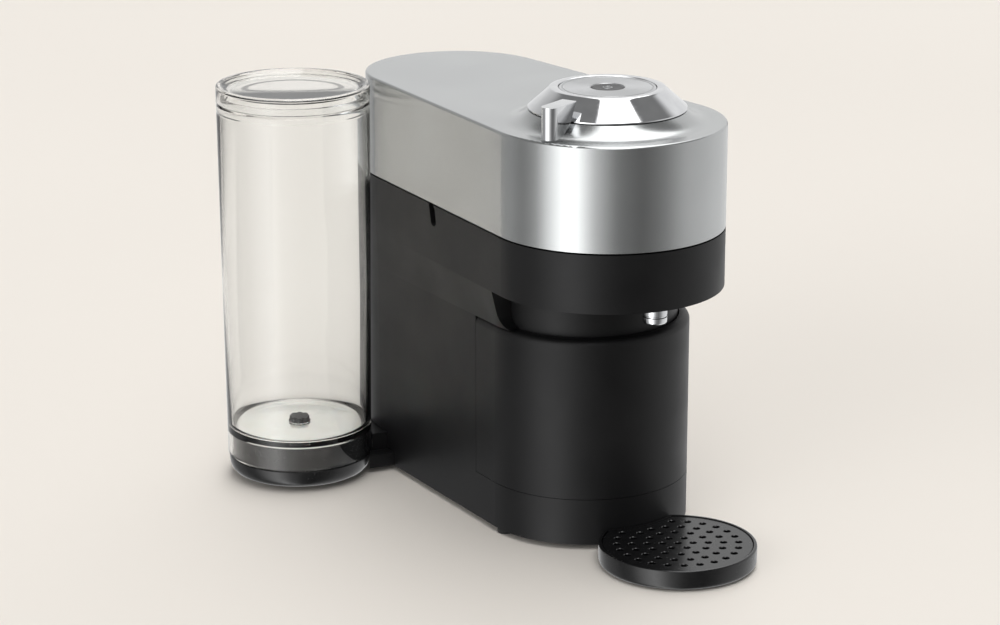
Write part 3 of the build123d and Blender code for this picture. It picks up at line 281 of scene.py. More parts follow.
def satinSilverLacquer():
    # ABS moulding sprayed with satin silver lacquer: aluminium flake lies flat, so broad soft highlights
    values = {"light": "#BABCBC", "dark": "#B2B4B4", "flake": 0.45, "cloud": 60,
              "rough": (0.20, 0.25), "relief": (0.004, 0.5)}
    finish, tree, shader, place = startFinish("satinSilverLacquer", {
        "Metallic": 0.95, "Roughness": 0.22, "Coat Weight": 0.10, "Coat Roughness": 0.2})
    flake = addNode(tree, "ShaderNodeTexNoise", {"Scale": perSize(values["flake"]), "Detail": 3.0},
                    {"Vector": place})
    cloud = addNode(tree, "ShaderNodeTexNoise", {"Scale": perSize(values["cloud"]), "Detail": 2.0},
                    {"Vector": place})
    mixed = addNode(tree, "ShaderNodeMath", {"operation": "ADD", "use_clamp": False},
                    {0: flake.outputs["Fac"], 1: cloud.outputs["Fac"]})
    half = addNode(tree, "ShaderNodeMath", {"operation": "MULTIPLY", 1: 0.5}, {0: mixed.outputs["Value"]})
    colourBetween(tree, shader, half.outputs["Value"], values, 0.38, 0.62)
    roughBetween(tree, shader, flake.outputs["Fac"], values)
    relief(tree, shader, flake.outputs["Fac"], values)
    return finish


def sparkErodedAbs():
    # black ABS from a spark-eroded mould: a fine even grain, no gloss, grey sheen towards the light
    values = {"light": "#141415", "dark": "#0F0F10", "grain": 0.5, "wear": 35, "rough": (0.38, 0.48),
              "relief": (0.03, 0.55)}
    finish, tree, shader, place = startFinish("sparkErodedAbs", {"Roughness": 0.43,
                                                                 "Specular IOR Level": 0.28})
    grain = addNode(tree, "ShaderNodeTexNoise", {"Scale": perSize(values["grain"]), "Detail": 4.0,
                                                 "Roughness": 0.65}, {"Vector": place})
    wear = addNode(tree, "ShaderNodeTexNoise", {"Scale": perSize(values["wear"]), "Detail": 3.0},
                   {"Vector": place})
    colourBetween(tree, shader, wear.outputs["Fac"], values)
    roughBetween(tree, shader, wear.outputs["Fac"], values)
    relief(tree, shader, grain.outputs["Fac"], values)
    return finish


def plainMouldedPp():
    # black polypropylene inner mouldings: duller and a little greyer than the outside
    values = {"light": "#232324", "dark": "#1A1A1B", "flow": 18, "rough": (0.52, 0.66),
              "relief": (0.05, 0.3)}
    finish, tree, shader, place = startFinish("plainMouldedPp", {"Roughness": 0.6, "IOR": 1.49})
    flow = addNode(tree, "ShaderNodeTexNoise", {"Scale": perSize(values["flow"]), "Detail": 5.0,
                                                "Distortion": 0.8}, {"Vector": place})
    colourBetween(tree, shader, flow.outputs["Fac"], values)
    roughBetween(tree, shader, flow.outputs["Fac"], values)
    relief(tree, shader, flow.outputs["Fac"], values)
    return finish


def polishedChromePlate():
    # chrome over nickel on polished ABS: mirror bright, with the faint waviness that plating keeps
    values = {"light": "#E3E4E5", "dark": "#D9DADC", "wave": 9, "haze": 2.5, "rough": (0.045, 0.10),
              "relief": (0.02, 0.25)}
    finish, tree, shader, place = startFinish("polishedChromePlate", {"Metallic": 1.0, "Roughness": 0.07})
    wave = addNode(tree, "ShaderNodeTexNoise", {"Scale": perSize(values["wave"]), "Detail": 1.0},
                   {"Vector": place})
    haze = addNode(tree, "ShaderNodeTexNoise", {"Scale": perSize(values["haze"]), "Detail": 6.0},
                   {"Vector": place})
    colourBetween(tree, shader, wave.outputs["Fac"], values)
    roughBetween(tree, shader, haze.outputs["Fac"], values)
    relief(tree, shader, wave.outputs["Fac"], values)
    return finish


def turnedAluminium():
    # aluminium disc faced on a lathe: fine rings about the knob's axis that stretch the highlight across them
    values = {"light": "#C2C3C4", "dark": "#AFB0B1", "ring": 0.35, "rough": (0.28, 0.40),
              "relief": (0.01, 0.4)}
    finish, tree, shader, place = startFinish("turnedAluminium", {"Metallic": 1.0, "Roughness": 0.34,
                                                                  "Anisotropic": 0.45})
    flat = addNode(tree, "ShaderNodeVectorMath", {"operation": "MULTIPLY", 1: (1, 1, 0)}, {0: place})
    reach = addNode(tree, "ShaderNodeVectorMath", {"operation": "LENGTH"}, {0: flat.outputs["Vector"]})
    scaled = addNode(tree, "ShaderNodeMath", {"operation": "MULTIPLY", 1: perSize(values["ring"])},
                     {0: reach.outputs["Value"]})
    rings = addNode(tree, "ShaderNodeTexNoise", {"noise_dimensions": "1D", "Scale": 1.0, "Detail": 3.0},
                    {"W": scaled.outputs["Value"]})
    colourBetween(tree, shader, rings.outputs["Fac"], values)
    roughBetween(tree, shader, rings.outputs["Fac"], values)
    relief(tree, shader, rings.outputs["Fac"], values)
    tangent = addNode(tree, "ShaderNodeTangent", {"direction_type": "RADIAL", "axis": "Z"})
    tree.links.new(tangent.outputs["Tangent"], shader.inputs["Tangent"])
    return finish


def softTouchButton():
    # dark soft-touch coating: velvety, no hard highlight
    values = {"light": "#3D3D3E", "dark": "#333334", "grain": 0.3, "relief": (0.01, 0.4)}
    finish, tree, shader, place = startFinish("softTouchButton", {"Roughness": 0.62, "Sheen Weight": 0.15})
    grain = addNode(tree, "ShaderNodeTexNoise", {"Scale": perSize(values["grain"]), "Detail": 3.0},
                    {"Vector": place})
    colourBetween(tree, shader, grain.outputs["Fac"], values)
    relief(tree, shader, grain.outputs["Fac"], values)
    return finish


def clearCopolyester():
    # clear injection-moulded copolyester: colourless, polished, edges go grey where light runs along the wall
    values = {"flow": 30, "rough": (0.012, 0.03), "relief": (0.02, 0.1)}
    finish, tree, shader, place = startFinish("clearCopolyester", {
        "Base Color": toLinear("#FBFCFC"), "IOR": 1.5, "Transmission Weight": 1.0, "Roughness": 0.02})
    flow = addNode(tree, "ShaderNodeTexNoise", {"Scale": perSize(values["flow"]), "Detail": 1.0},
                   {"Vector": place})
    roughBetween(tree, shader, flow.outputs["Fac"], values)
    relief(tree, shader, flow.outputs["Fac"], values)
    return finish


def glossBlackAbs():
    # black ABS from a polished mould: deep gloss with fine rubbing marks where cups slide
    values = {"light": "#121213", "dark": "#0B0B0C", "scuff": 3.0, "rough": (0.16, 0.28),
              "relief": (0.004, 0.2)}
    finish, tree, shader, place = startFinish("glossBlackAbs", {"Roughness": 0.2, "IOR": 1.54})
    scuff = addNode(tree, "ShaderNodeTexNoise", {"Scale": perSize(values["scuff"]), "Detail": 8.0,
                                                 "Distortion": 1.5}, {"Vector": place})
    colourBetween(tree, shader, scuff.outputs["Fac"], values)
    roughBetween(tree, shader, scuff.outputs["Fac"], values)
    relief(tree, shader, scuff.outputs["Fac"], values)
    return finish


def mouldedRubber():
    # black elastomer feet and grommets: matte, slightly grey where they rub
    values = {"light": "#2B2B2B", "dark": "#1C1C1C", "grain": 0.8, "relief": (0.05, 0.5)}
    finish, tree, shader, place = startFinish("mouldedRubber", {"Roughness": 0.85, "Sheen Weight": 0.1})
    grain = addNode(tree, "ShaderNodeTexNoise", {"Scale": perSize(values["grain"]), "Detail": 6.0},
                    {"Vector": place})
    colourBetween(tree, shader, grain.outputs["Fac"], values)
    relief(tree, shader, grain.outputs["Fac"], values)
    return finish


def extrudedSilicone():
    # milky silicone hose and seals: light goes a little way in
    values = {"light": "#D3D1CA", "dark": "#C4C2BB", "haze": 6, "relief": (0.02, 0.3)}
    finish, tree, shader, place = startFinish("extrudedSilicone", {
        "Roughness": 0.38, "Subsurface Weight": 0.35, "Subsurface Scale": 0.003, "IOR": 1.41})
    haze = addNode(tree, "ShaderNodeTexNoise", {"Scale": perSize(values["haze"]), "Detail": 3.0},
                   {"Vector": place})
    colourBetween(tree, shader, haze.outputs["Fac"], values)
    relief(tree, shader, haze.outputs["Fac"], values)
    return finish


def naturalAcetal():
    # undyed acetal for gears, valves and bearings: waxy off-white
    values = {"light": "#DEDCD5", "dark": "#D2D0C8", "haze": 8, "rough": (0.36, 0.48)}
    finish, tree, shader, place = startFinish("naturalAcetal", {"Roughness": 0.42, "Subsurface Weight": 0.15,
                                                                "Subsurface Scale": 0.002, "IOR": 1.48})
    haze = addNode(tree, "ShaderNodeTexNoise", {"Scale": perSize(values["haze"]), "Detail": 4.0},
                   {"Vector": place})
    colourBetween(tree, shader, haze.outputs["Fac"], values)
    roughBetween(tree, shader, haze.outputs["Fac"], values)
    return finish


def machinedSteel():
    # turned and ground steel for pins, screws and the pump's frame: fine streaks, cool grey
    values = {"light": "#B8BABC", "dark": "#9A9C9F", "streak": 1.6, "rough": (0.22, 0.38),
              "relief": (0.01, 0.3)}
    finish, tree, shader, place = startFinish("machinedSteel", {"Metallic": 1.0, "Roughness": 0.3})
    drawn = addNode(tree, "ShaderNodeMapping", {"Scale": (1, 1, 8)}, {"Vector": place})
    streak = addNode(tree, "ShaderNodeTexNoise", {"Scale": perSize(values["streak"]), "Detail": 5.0},
                     {"Vector": drawn.outputs["Vector"]})
    colourBetween(tree, shader, streak.outputs["Fac"], values)
    roughBetween(tree, shader, streak.outputs["Fac"], values)
    relief(tree, shader, streak.outputs["Fac"], values)
    return finish


def laminatedCore():
    # stacked electrical steel: half-millimetre sheets seen as fine bands up the motor
    values = {"light": "#77787A", "dark": "#4E4F51", "sheet": 0.5, "relief": (0.03, 0.6)}
    finish, tree, shader, place = startFinish("laminatedCore", {"Metallic": 1.0, "Roughness": 0.45})
    bands = addNode(tree, "ShaderNodeTexWave", {"bands_direction": "Z", "Distortion": 0.2, "Detail": 2.0,
                                                "Scale": perSize(values["sheet"]) / waveTurn},
                    {"Vector": place})
    colourBetween(tree, shader, bands.outputs["Fac"], values, 0.1, 0.9)
    relief(tree, shader, bands.outputs["Fac"], values)
    return finish


def enamelledCopper():
    # enamelled winding wire: close round turns under a clear amber coat
    values = {"light": "#C8763A", "dark": "#8A4519", "wire": 0.6, "relief": (0.08, 0.7)}
    finish, tree, shader, place = startFinish("enamelledCopper", {"Metallic": 1.0, "Roughness": 0.3,
                                                                  "Coat Weight": 0.6, "Coat Roughness": 0.1})
    turns = addNode(tree, "ShaderNodeTexWave", {"bands_direction": "DIAGONAL",
                                                "Scale": perSize(values["wire"]) / waveTurn},
                    {"Vector": place})
    colourBetween(tree, shader, turns.outputs["Fac"], values, 0.1, 0.9)
    relief(tree, shader, turns.outputs["Fac"], values)
    return finish


def castAluminium():
    # die-cast heater block: pale grey, sandy skin
    values = {"light": "#BDBEBF", "dark": "#A3A4A6", "sand": 0.9, "rough": (0.42, 0.6),
              "relief": (0.06, 0.6)}
    finish, tree, shader, place = startFinish("castAluminium", {"Metallic": 1.0, "Roughness": 0.5})
    sand = addNode(tree, "ShaderNodeTexNoise", {"Scale": perSize(values["sand"]), "Detail": 6.0},
                   {"Vector": place})
    colourBetween(tree, shader, sand.outputs["Fac"], values)
    roughBetween(tree, shader, sand.outputs["Fac"], values)
    relief(tree, shader, sand.outputs["Fac"], values)
    return finish


def printedBoard():
    # glass-epoxy board under green solder mask: copper tracks show as paler lines
    values = {"light": "#2F6B45", "dark": "#174029", "track": 8.8, "relief": (0.03, 0.4)}
    finish, tree, shader, place = startFinish("printedBoard", {"Roughness": 0.32, "Coat Weight": 0.3})
    tracks = addNode(tree, "ShaderNodeTexBrick", {"Scale": perSize(values["track"]), "Mortar Size": 0.03,
                                                  "Color1": toLinear(values["dark"]),
                                                  "Color2": toLinear("#1C4A30"),
                                                  "Mortar": toLinear(values["light"])}, {"Vector": place})
    tree.links.new(tracks.outputs["Color"], shader.inputs["Base Color"])
    relief(tree, shader, tracks.outputs["Fac"], values)
    return finish


finishes = {
    "body_black": sparkErodedAbs(), "head_silver": satinSilverLacquer(), "black_inner": plainMouldedPp(),
    "chrome_trim": polishedChromePlate(), "satin_disc": turnedAluminium(), "dark_button": softTouchButton(),
    "clear_tank": clearCopolyester(), "tray_black": glossBlackAbs(), "steel": machinedSteel(),
    "core_steel": laminatedCore(), "copper": enamelledCopper(), "cast_aluminium": castAluminium(),
    "rubber_black": mouldedRubber(), "silicone": extrudedSilicone(), "white_plastic": naturalAcetal(),
    "board_green": printedBoard(),
}

slotOfNode = {part["node"]: part["material_slot"] for part in frame["record"]["subparts"]}
for nodeName, nodePiece in nodes.items():
    nodePiece.data.materials.clear()
    nodePiece.data.materials.append(finishes[slotOfNode[nodeName]])
say("finishes on every CAD node")


# water tank, its lid and its stand

tankCentre = middleOf("water_tank")
tankAxis = (tankCentre.x, tankCentre.y)

tankValues = {"skirtZ": 14.4, "footR": 43.2, "topR": 45.02, "topZ": 226.0, "wall": 2.2, "floorZ": 29.0,
              "floorThick": 2.4, "floorCorner": 4.0, "neckR": 43.0, "neckZ": 234.0, "valveHoleR": 6.1,
              "bendZ": 120.0, "bead": 0.35, "edge": 0.6}


def makeTank(v):
    def outside(z):
        return v["footR"] + (v["topR"] - v["footR"]) * (z - v["skirtZ"]) / (v["topZ"] - v["skirtZ"])

    def inside(z):
        return outside(z) - v["wall"]

    foot, bend, shoulder, neck, top = v["skirtZ"], v["bendZ"], v["topZ"], v["neckR"], v["neckZ"]
    floor, floorTop, corner, edge = v["floorZ"], v["floorZ"] + v["floorThick"], v["floorCorner"], v["edge"]
    hole, beadR = v["valveHoleR"], v["topR"] - v["bead"]
    bore, footBore = neck - v["wall"], v["footR"] - v["wall"]
    # up the outside, past the bead under the lid, to the neck
    rings = [(v["footR"] - edge, foot), (v["footR"], foot + edge), (outside(bend), bend)]
    rings += [(outside(shoulder - 2.8), shoulder - 2.8), (beadR, shoulder - 2.2), (beadR, shoulder - 1.0)]
    rings += [(v["topR"], shoulder - 0.4), (v["topR"], shoulder + 1.4)]
    rings += roundCorner((neck + 0.6, shoulder + 1.6), 1.3, 10, 80)
    rings += [(neck, shoulder + 3.2), (neck, top - 0.7), (neck - 0.2, top - 0.2), (neck - 0.7, top)]
    # down the inside to the valve's hole, and back under the floor
    rings += [(bore + 0.7, top), (bore, top - 0.7), (bore, shoulder + 2.0)]
    rings += [(inside(shoulder - 4.0), shoulder - 4.0), (inside(bend), bend)]
    rings += roundCorner((inside(floorTop + corner) - corner, floorTop + corner), corner, 0, -90, 6)
    rings += [(hole + edge, floorTop), (hole, floorTop - edge), (hole, floor)]
    rings += [(inside(floor) - edge, floor), (inside(floor), floor - edge)]
    rings += [(footBore, foot + edge), (footBore + edge, foot), rings[0]]
    tank = turned(rings, tankAxis, bored=True)
    tank.visible_shadow = False  # light passes the clear wall and reaches the floor of the tank
    return settle(tank, "tankBeaker", finishes["clear_tank"], "tank", ["water_tank"], 40)


lidValues = {"radius": 45.1, "low": 230.0, "high": 240.0, "wall": 1.8, "sink": 2.6, "discR": 36.6,
             "corner": 1.4}


def makeLid(v):
    radius, disc, wall, corner = v["radius"], v["discR"], v["wall"], v["corner"]
    low, top, sunk, inner = v["low"], v["high"], v["high"] - v["sink"], radius - wall
    rings = [(disc + 0.4, sunk - wall), (disc + 2.6, sunk - wall + 0.3), (disc + 4.6, top - wall)]
    rings += [(inner - 0.4, top - wall), (inner, top - wall - 0.4), (inner, low + 0.4)]
    rings += [(inner + 0.4, low), (radius - 0.5, low), (radius, low + 0.5)]
    rings += roundCorner((radius - corner, top - corner), corner, 0, 90, 6)
    rings += [(disc + 5.6, top), (disc + 4.9, top - 0.3), (disc + 3.2, top - 1.7)]
    rings += [(disc + 2.0, sunk + 0.2), (disc + 1.2, sunk), (disc, sunk)]
    lid = turned(rings, tankAxis)
    lid.visible_shadow = False
    return settle(lid, "tankLidClear", finishes["clear_tank"], "lid", ["tank_lid"], 40)


standValues = {"low": 3.3, "bowlR": 36.5, "skirtR": 42.5, "ringZ": 14.0, "plugR": 40.4, "plugZ": 27.5,
               "holeR": 5.2, "holeDeep": 7.4}


def makeStand(v):
    low, bowl, skirt, ring = v["low"], v["bowlR"], v["skirtR"], v["ringZ"]
    plug, top, hole = v["plugR"], v["plugZ"], v["holeR"]
    rings = [(bowl, low), (bowl + 1.6, low + 0.2), (bowl + 3.2, low + 1.0), (bowl + 4.6, low + 2.6)]
    rings += [(bowl + 5.5, low + 4.8), (skirt - 0.1, low + 7.2), (skirt, low + 9.2)]
    rings += [(skirt, ring - 0.4), (skirt - 0.4, ring), (plug + 0.4, ring), (plug, ring + 0.4)]
    rings += [(plug, top - 1.0), (plug - 0.3, top - 0.3), (plug - 1.0, top)]
    rings += [(hole + 0.6, top), (hole, top - 0.6), (hole, top - v["holeDeep"])]
    stand = turned(rings, tankAxis)
    return settle(stand, "tankStand", finishes["tray_black"], "swivel", ["tank_base"], 40)


paintedReflectionDiscValues = {"radius": 39.0, "holeR": 6.6, "low": 27.6, "high": 28.5}


def makePaintedReflectionDisc(v):  # pale disc that shows through the tank's clear floor: a painted reflection, its pale colour stands in for the whitish glare off the underside of the tank's floor
    rings = [(v["holeR"], v["low"]), (v["holeR"], v["high"] - 0.2), (v["holeR"] + 0.2, v["high"]),
             (v["radius"] - 0.3, v["high"]), (v["radius"], v["high"] - 0.3), (v["radius"], v["low"]),
             (v["holeR"], v["low"])]
    pad = turned(rings, tankAxis, bored=True)
    # painted reflection: the off-white acetal finish paints the floor's glare as a pale surface
    return settle(pad, "paintedFloorReflection", finishes["white_plastic"], "swivel", (), 40)


makeTank(tankValues)
makeLid(lidValues)
makeStand(standValues)
makePaintedReflectionDisc(paintedReflectionDiscValues)
say("water tank, lid and stand")


# knob, lever and brew button

coneValues = {"footR": 44.5, "footZ": 246.3, "ringR": 32.2, "topZ": 258.2, "discR": 27.5, "discZ": 255.8,
              "hubR": 23.6, "hubInR": 20.0, "hubZ": 232.7, "shell": 2.2, "web": 2}
leverValues = {"turn": -155.0, "tip": 65.2, "tipR": 4.85, "root": 30.0, "rootR": 4.2, "low": 240.2,
               "high": 258.0, "edge": 0.5, "sweep": [(59.5, 240.0, 20), (53.5, 242.0, 36), (47.5, 245.4, 62)]}


def makeCone(v):
    foot, low, ring, top, inner = v["footR"], v["footZ"], v["ringR"], v["topZ"], v["footR"] - v["shell"]
    disc, seat, under = v["discR"], v["discZ"], v["discZ"] - v["web"]
    rings = [(foot - 0.4, low), (foot, low + 0.3), (foot - 0.1, low + 0.9)]
    rings += [(ring + 0.7, top - 0.9), (ring + 0.2, top - 0.3), (ring - 0.4, top)]
    rings += [(disc + 0.5, top), (disc + 0.1, top - 0.2), (disc, top - 0.6), (disc, seat)]
    rings += [(v["hubInR"], seat), (v["hubInR"], v["hubZ"]), (v["hubR"], v["hubZ"]), (v["hubR"], under)]
    rings += [(ring - 0.8, under), (inner, low + 0.6), (inner, low), rings[0]]
    return turned(rings, (0, 0), sides=192, bored=True)


def makeLever(v):
    turn = radians(v["turn"])
    out = (cos(turn), sin(turn))
    tipAt, rootAt = v["tip"] - v["tipR"], v["root"]
    plate = tangentPlate(((out[0] * tipAt, out[1] * tipAt), v["tipR"]),
                         ((out[0] * rootAt, out[1] * rootAt), v["rootR"]), v["low"], 64)
    lever = raisePlate(plate, v["high"] - v["low"])
    for reach, height, slope in v["sweep"]:  # the underside climbs towards the cone in three flats
        selectVerts(lever, lambda co: True)
        spot = (out[0] * reach * mm, out[1] * reach * mm, height * mm)
        lean = radians(slope)
        side = (-out[0] * sin(lean), -out[1] * sin(lean), -cos(lean))
        bpy.ops.mesh.bisect(plane_co=spot, plane_no=side, use_fill=True, clear_outer=True)
        bpy.ops.object.mode_set(mode="OBJECT")
    faceOutwards(lever)
    highest, longest = (v["high"] - 0.01) * mm, 20 * mm  # top edges of the round ends, not of the flanks
    bevelWhere(lever, lambda a, b: min(a.z, b.z) > highest and (a - b).length < longest, v["edge"], 4)
    return lever


knobRing = makeCone(coneValues)
cutWith(knobRing, makeLever(leverValues), "UNION")
settle(knobRing, "knobRing", finishes["chrome_trim"], "knob", ["knob_ring"], 32)

discValues = {"radius": 27.2, "holeR": 9.35, "low": 255.8, "high": 257.8, "edge": 0.3, "grooveR": 25.2}


def makeDisc(v):
    low, high, edge = v["low"], v["high"], v["edge"]
    radius, hole, groove = v["radius"], v["holeR"], v["grooveR"]
    rings = [(hole, low), (radius, low), (radius, high - edge), (radius - edge, high), (groove + 0.3, high)]
    rings += [(groove + 0.1, high - 0.25), (groove - 0.1, high - 0.25), (groove - 0.3, high)]
    rings += [(hole + 0.5, high), (hole, high - 0.5), (hole, low)]
    disc = turned(rings, (0, 0), sides=160, bored=True)
    return settle(disc, "knobDisc", finishes["satin_disc"], "knob", ["knob_disc"], 40)


buttonValues = {"radius": 9.0, "flangeR": 10.8, "low": 253.1, "flangeZ": 255.5, "high": 257.7, "dish": 0.35}


def makeButton(v):
    radius, flange, low, lip, high = v["radius"], v["flangeR"], v["low"], v["flangeZ"], v["high"]
    rings = [(flange - 0.3, low), (flange, low + 0.3), (flange, lip - 0.3), (flange - 0.3, lip)]
    rings += [(radius, lip), (radius, high - 0.5), (radius - 0.15, high - 0.15), (radius - 0.6, high)]
    for i in range(1, 9):  # finger dish in the top
        share = 1 - i / 9
        rings.append(((radius - 0.6) * share, high - v["dish"] * (1 - share * share)))
    button = turned(rings, (0, 0), sides=96)
    return settle(button, "brewButton", finishes["dark_button"], "button", ["brew_button"], 40)


markValues = {"ringR": 2.5, "line": 0.32, "height": 257.42, "gap": 0.9, "bar": 2.1}


def makeButtonMark(v):  # plain start sign: an open ring and a short bar
    deselectAll()
    bpy.ops.mesh.primitive_torus_add(major_radius=v["ringR"] * mm, minor_radius=v["line"] * mm,
                                     major_segments=64, minor_segments=12, location=(0, 0, v["height"] * mm))
    mark = bpy.context.object
    applyPlace(mark)
    selectFaces(mark, lambda centre, normal: abs(centre.x) < v["gap"] * mm and centre.y > 0)
    bpy.ops.mesh.delete(type="FACE")
    bpy.ops.mesh.select_all(action="SELECT")
    bpy.ops.mesh.fill_holes(sides=0)
    bpy.ops.mesh.primitive_uv_sphere_add(segments=16, ring_count=8, radius=v["line"] * mm,
                                         location=(0, (v["ringR"] - 0.2) * mm, v["height"] * mm),
                                         scale=(1, v["bar"] / v["line"] / 2, 1))
    bpy.ops.object.mode_set(mode="OBJECT")
    faceOutwards(mark)
    return settle(mark, "buttonMark", finishes["satin_disc"], "button", (), 60)


makeDisc(discValues)
makeButton(buttonValues)
makeButtonMark(markValues)
say("knob, lever and button")


# drip tray and its grid

trayCentre = (0.0, -73.6 * mm)
trayValues = {"radius": 44.2, "low": 1.2, "high": 12.5, "floor": 2.8, "ledge": 10.0, "seatR": 42.4,
              "wellR": 41.0, "wellWall": 1.4, "columnR": 59.8, "columnY": 20.4, "gap": 0.6, "cutZ": 20.0,
              "capR": 30.0, "tongue": (14.0, 6.4, 9.4), "tongueDeep": 8.5, "tongueIn": 1.0}
gridValues = {"radius": 42.1, "low": 10.0, "high": 12.0, "holeR": 1.9, "sink": 0.35, "edge": 0.4,
              "rings": [(0.0, 1), (8.5, 6), (17.0, 12), (25.5, 18), (34.0, 24)], "border": 6.2}


def columnCutter(v, grow):
    rings = [(v["columnR"] + grow, -5.0), (v["columnR"] + grow, 30.0)]
    return turned(rings, (0, v["columnY"] * mm), sides=256)


def makeTray(v):
    low, high = v["low"], v["high"]
    rings = [(v["radius"] - 2.4, low), (v["radius"] - 1.2, low + 0.3), (v["radius"] - 0.3, low + 1.2),
             (v["radius"], low + 2.4), (v["radius"], high - 1.0)]
    rings += roundCorner((v["radius"] - 0.9, high - 0.9), 0.9, 15, 90, 4) + [(v["capR"], high)]
    tray = turned(rings, trayCentre, sides=192)
    cutWith(tray, columnCutter(v, v["gap"]))
    wall = v["radius"] - v["seatR"]
    seat = turned([(v["seatR"], v["ledge"]), (v["seatR"], v["cutZ"])], trayCentre, sides=192)
    cutWith(seat, columnCutter(v, v["gap"] + wall))
    cutWith(tray, seat)
    well = turned([(v["wellR"] - 1.5, v["floor"]), (v["wellR"] - 0.4, v["floor"] + 0.4),
                   (v["wellR"], v["floor"] + 1.5), (v["wellR"], v["cutZ"])], trayCentre, sides=192)
    cutWith(well, columnCutter(v, v["gap"] + wall + v["wellWall"]))
    cutWith(tray, well)
    faceOutwards(tray)
    addTongue(tray, v)
    return settle(tray, "dripTray", finishes["tray_black"], "tray", ["drip_tray"], 35)


def addTongue(tray, v):
    halfWide, low, high = v["tongue"]
    deep, front = v["tongueDeep"], v["columnY"] - v["columnR"] - v["gap"] - v["tongueIn"]
    deselectAll()
    bpy.ops.mesh.primitive_cube_add(size=1, location=(0, (front + deep / 2) * mm, (low + high) / 2 * mm),
                                    scale=(2 * halfWide * mm, deep * mm, (high - low) * mm))
    tongue = bpy.context.object
    applyPlace(tongue)
    bevelWhere(tongue, lambda a, b: (a - b).length > 2 * mm, 0.5, 3)
    cutWith(tray, tongue, "UNION")


def makeGrid(v, tray):
    radius, high, edge = v["radius"], v["high"], v["edge"]
    rings = [(radius, v["low"]), (radius, high - edge), (radius - edge, high)]
    grid = turned(rings, trayCentre, sides=192)
    edgeGap = tray["radius"] - radius
    cutWith(grid, columnCutter(tray, tray["gap"] + edgeGap))
    drill = None
    for ringR, count in v["rings"]:
        for i in range(count):
            angle = 2 * pi * i / count - pi / 2
            x, y = ringR * cos(angle), trayCentre[1] / mm + ringR * sin(angle)
            if hypot(x, y - tray["columnY"]) < tray["columnR"] + v["border"]:
                continue
            hole = turned([(v["holeR"], v["low"] - 1), (v["holeR"], v["high"] - v["sink"]),
                           (v["holeR"] + 2 * v["sink"], v["high"] + v["sink"])], (x * mm, y * mm), sides=24)
            if drill:
                makeActive(drill)
                hole.select_set(True)
                bpy.ops.object.join()
            drill = drill or hole
    cutWith(grid, drill)
    faceOutwards(grid)
    return settle(grid, "dripGrid", finishes["tray_black"], "grid", ["drip_grid"], 35)


makeTray(trayValues)
makeGrid(gridValues, trayValues)
say("drip tray")


# spout and feet

spoutValues = {"radius": 6.8, "boreR": 4.2, "low": 134.0, "high": 148.8, "y": -48.4}


def makeSpout(v):
    low, high = v["low"], v["high"]
    rings = [(v["radius"] - 1.0, low), (v["radius"] - 0.4, low + 0.3), (v["radius"], low + 1.0)]
    rings += [(v["radius"], low + 3.6), (v["radius"] - 0.4, low + 4.0), (v["radius"] - 0.4, low + 4.6)]
    rings += [(v["radius"], low + 5.0), (v["radius"], high), (v["boreR"], high), (v["boreR"], low + 0.6)]
    rings += [(v["boreR"] + 0.5, low), rings[0]]
    spout = turned(rings, (0, v["y"] * mm), sides=96, bored=True)
    return settle(spout, "spoutTip", finishes["chrome_trim"], "base", ["coffee_spout"], 40)


footValues = {"radius": 4.6, "high": 3.3, "edge": 0.5,
              "places": [(0.0, 0.0), (-54.8, 19.0), (54.8, 19.0), (-32.0, 190.0), (32.0, 190.0)]}


def makeFeet(v):
    rings = [(v["radius"] - 1.4, 0.25), (v["radius"] - 1.2, 0.0), (v["radius"] - v["edge"], 0.0),
             (v["radius"], v["edge"]), (v["radius"], v["high"])]
    first = turned(rings, (0, 0), sides=48)
    copies = []
    for x, y in v["places"]:
        deselectAll()
        foot = first.copy()
        foot.data = first.data.copy()
        bpy.context.scene.collection.objects.link(foot)
        foot.location = (x * mm, y * mm, 0)
        applyPlace(foot)
        copies.append(foot)
    bpy.data.objects.remove(first)
    makeActive(copies[0])
    for foot in copies[1:]:
        foot.select_set(True)
    bpy.ops.object.join()
    return settle(copies[0], "rubberFeet", finishes["rubber_black"], "base", ["feet"], 40)


makeSpout(spoutValues)
makeFeet(footValues)
say("spout and feet")


# floor, light and camera

# the studio's brightness round the machine, as (share of a turn from -X through -Y, grey)
studioBands = [(0.0, 1.5), (0.06, 3.0), (0.12, 1.0), (0.18, 0.28), (0.25, 0.14), (0.31, 0.3), (0.38, 0.7),
               (0.50, 0.9), (0.70, 0.85), (0.79, 0.46), (0.87, 0.44), (0.91, 0.28), (0.96, 0.5), (1.0, 1.5)]
stageSetup = {"backdrop": "#F1EBE3", "floorPaint": {"dark": "#E5DFD7", "light": "#E7E1D9"}, "floorSize": 14.0,
              "bandScale": 4.0, "ceiling": 0.22, "ceilingFrom": 0.5, "ceilingTo": 0.66, "strip": 3.0,
              "stripFrom": -0.14, "stripTo": 0.46, "stripSoft": 0.03, "stripRight": (0.823, -0.567, 0.0)}


def paleFloor():
    finish, tree, shader, place = startFinish("paleFloorPaint", {"Roughness": 0.95})
    cloud = addNode(tree, "ShaderNodeTexNoise", {"Scale": 1.5, "Detail": 1.0}, {"Vector": place})
    colourBetween(tree, shader, cloud.outputs["Fac"], stageSetup["floorPaint"])
    deselectAll()
    bpy.ops.mesh.primitive_plane_add(size=stageSetup["floorSize"], location=(0, 0, 0))
    floor = bpy.context.object
    floor.name = "floor"
    floor.data.materials.append(finish)
    floor.visible_glossy = False  # the machine's sides mirror the studio's panels and not the floor


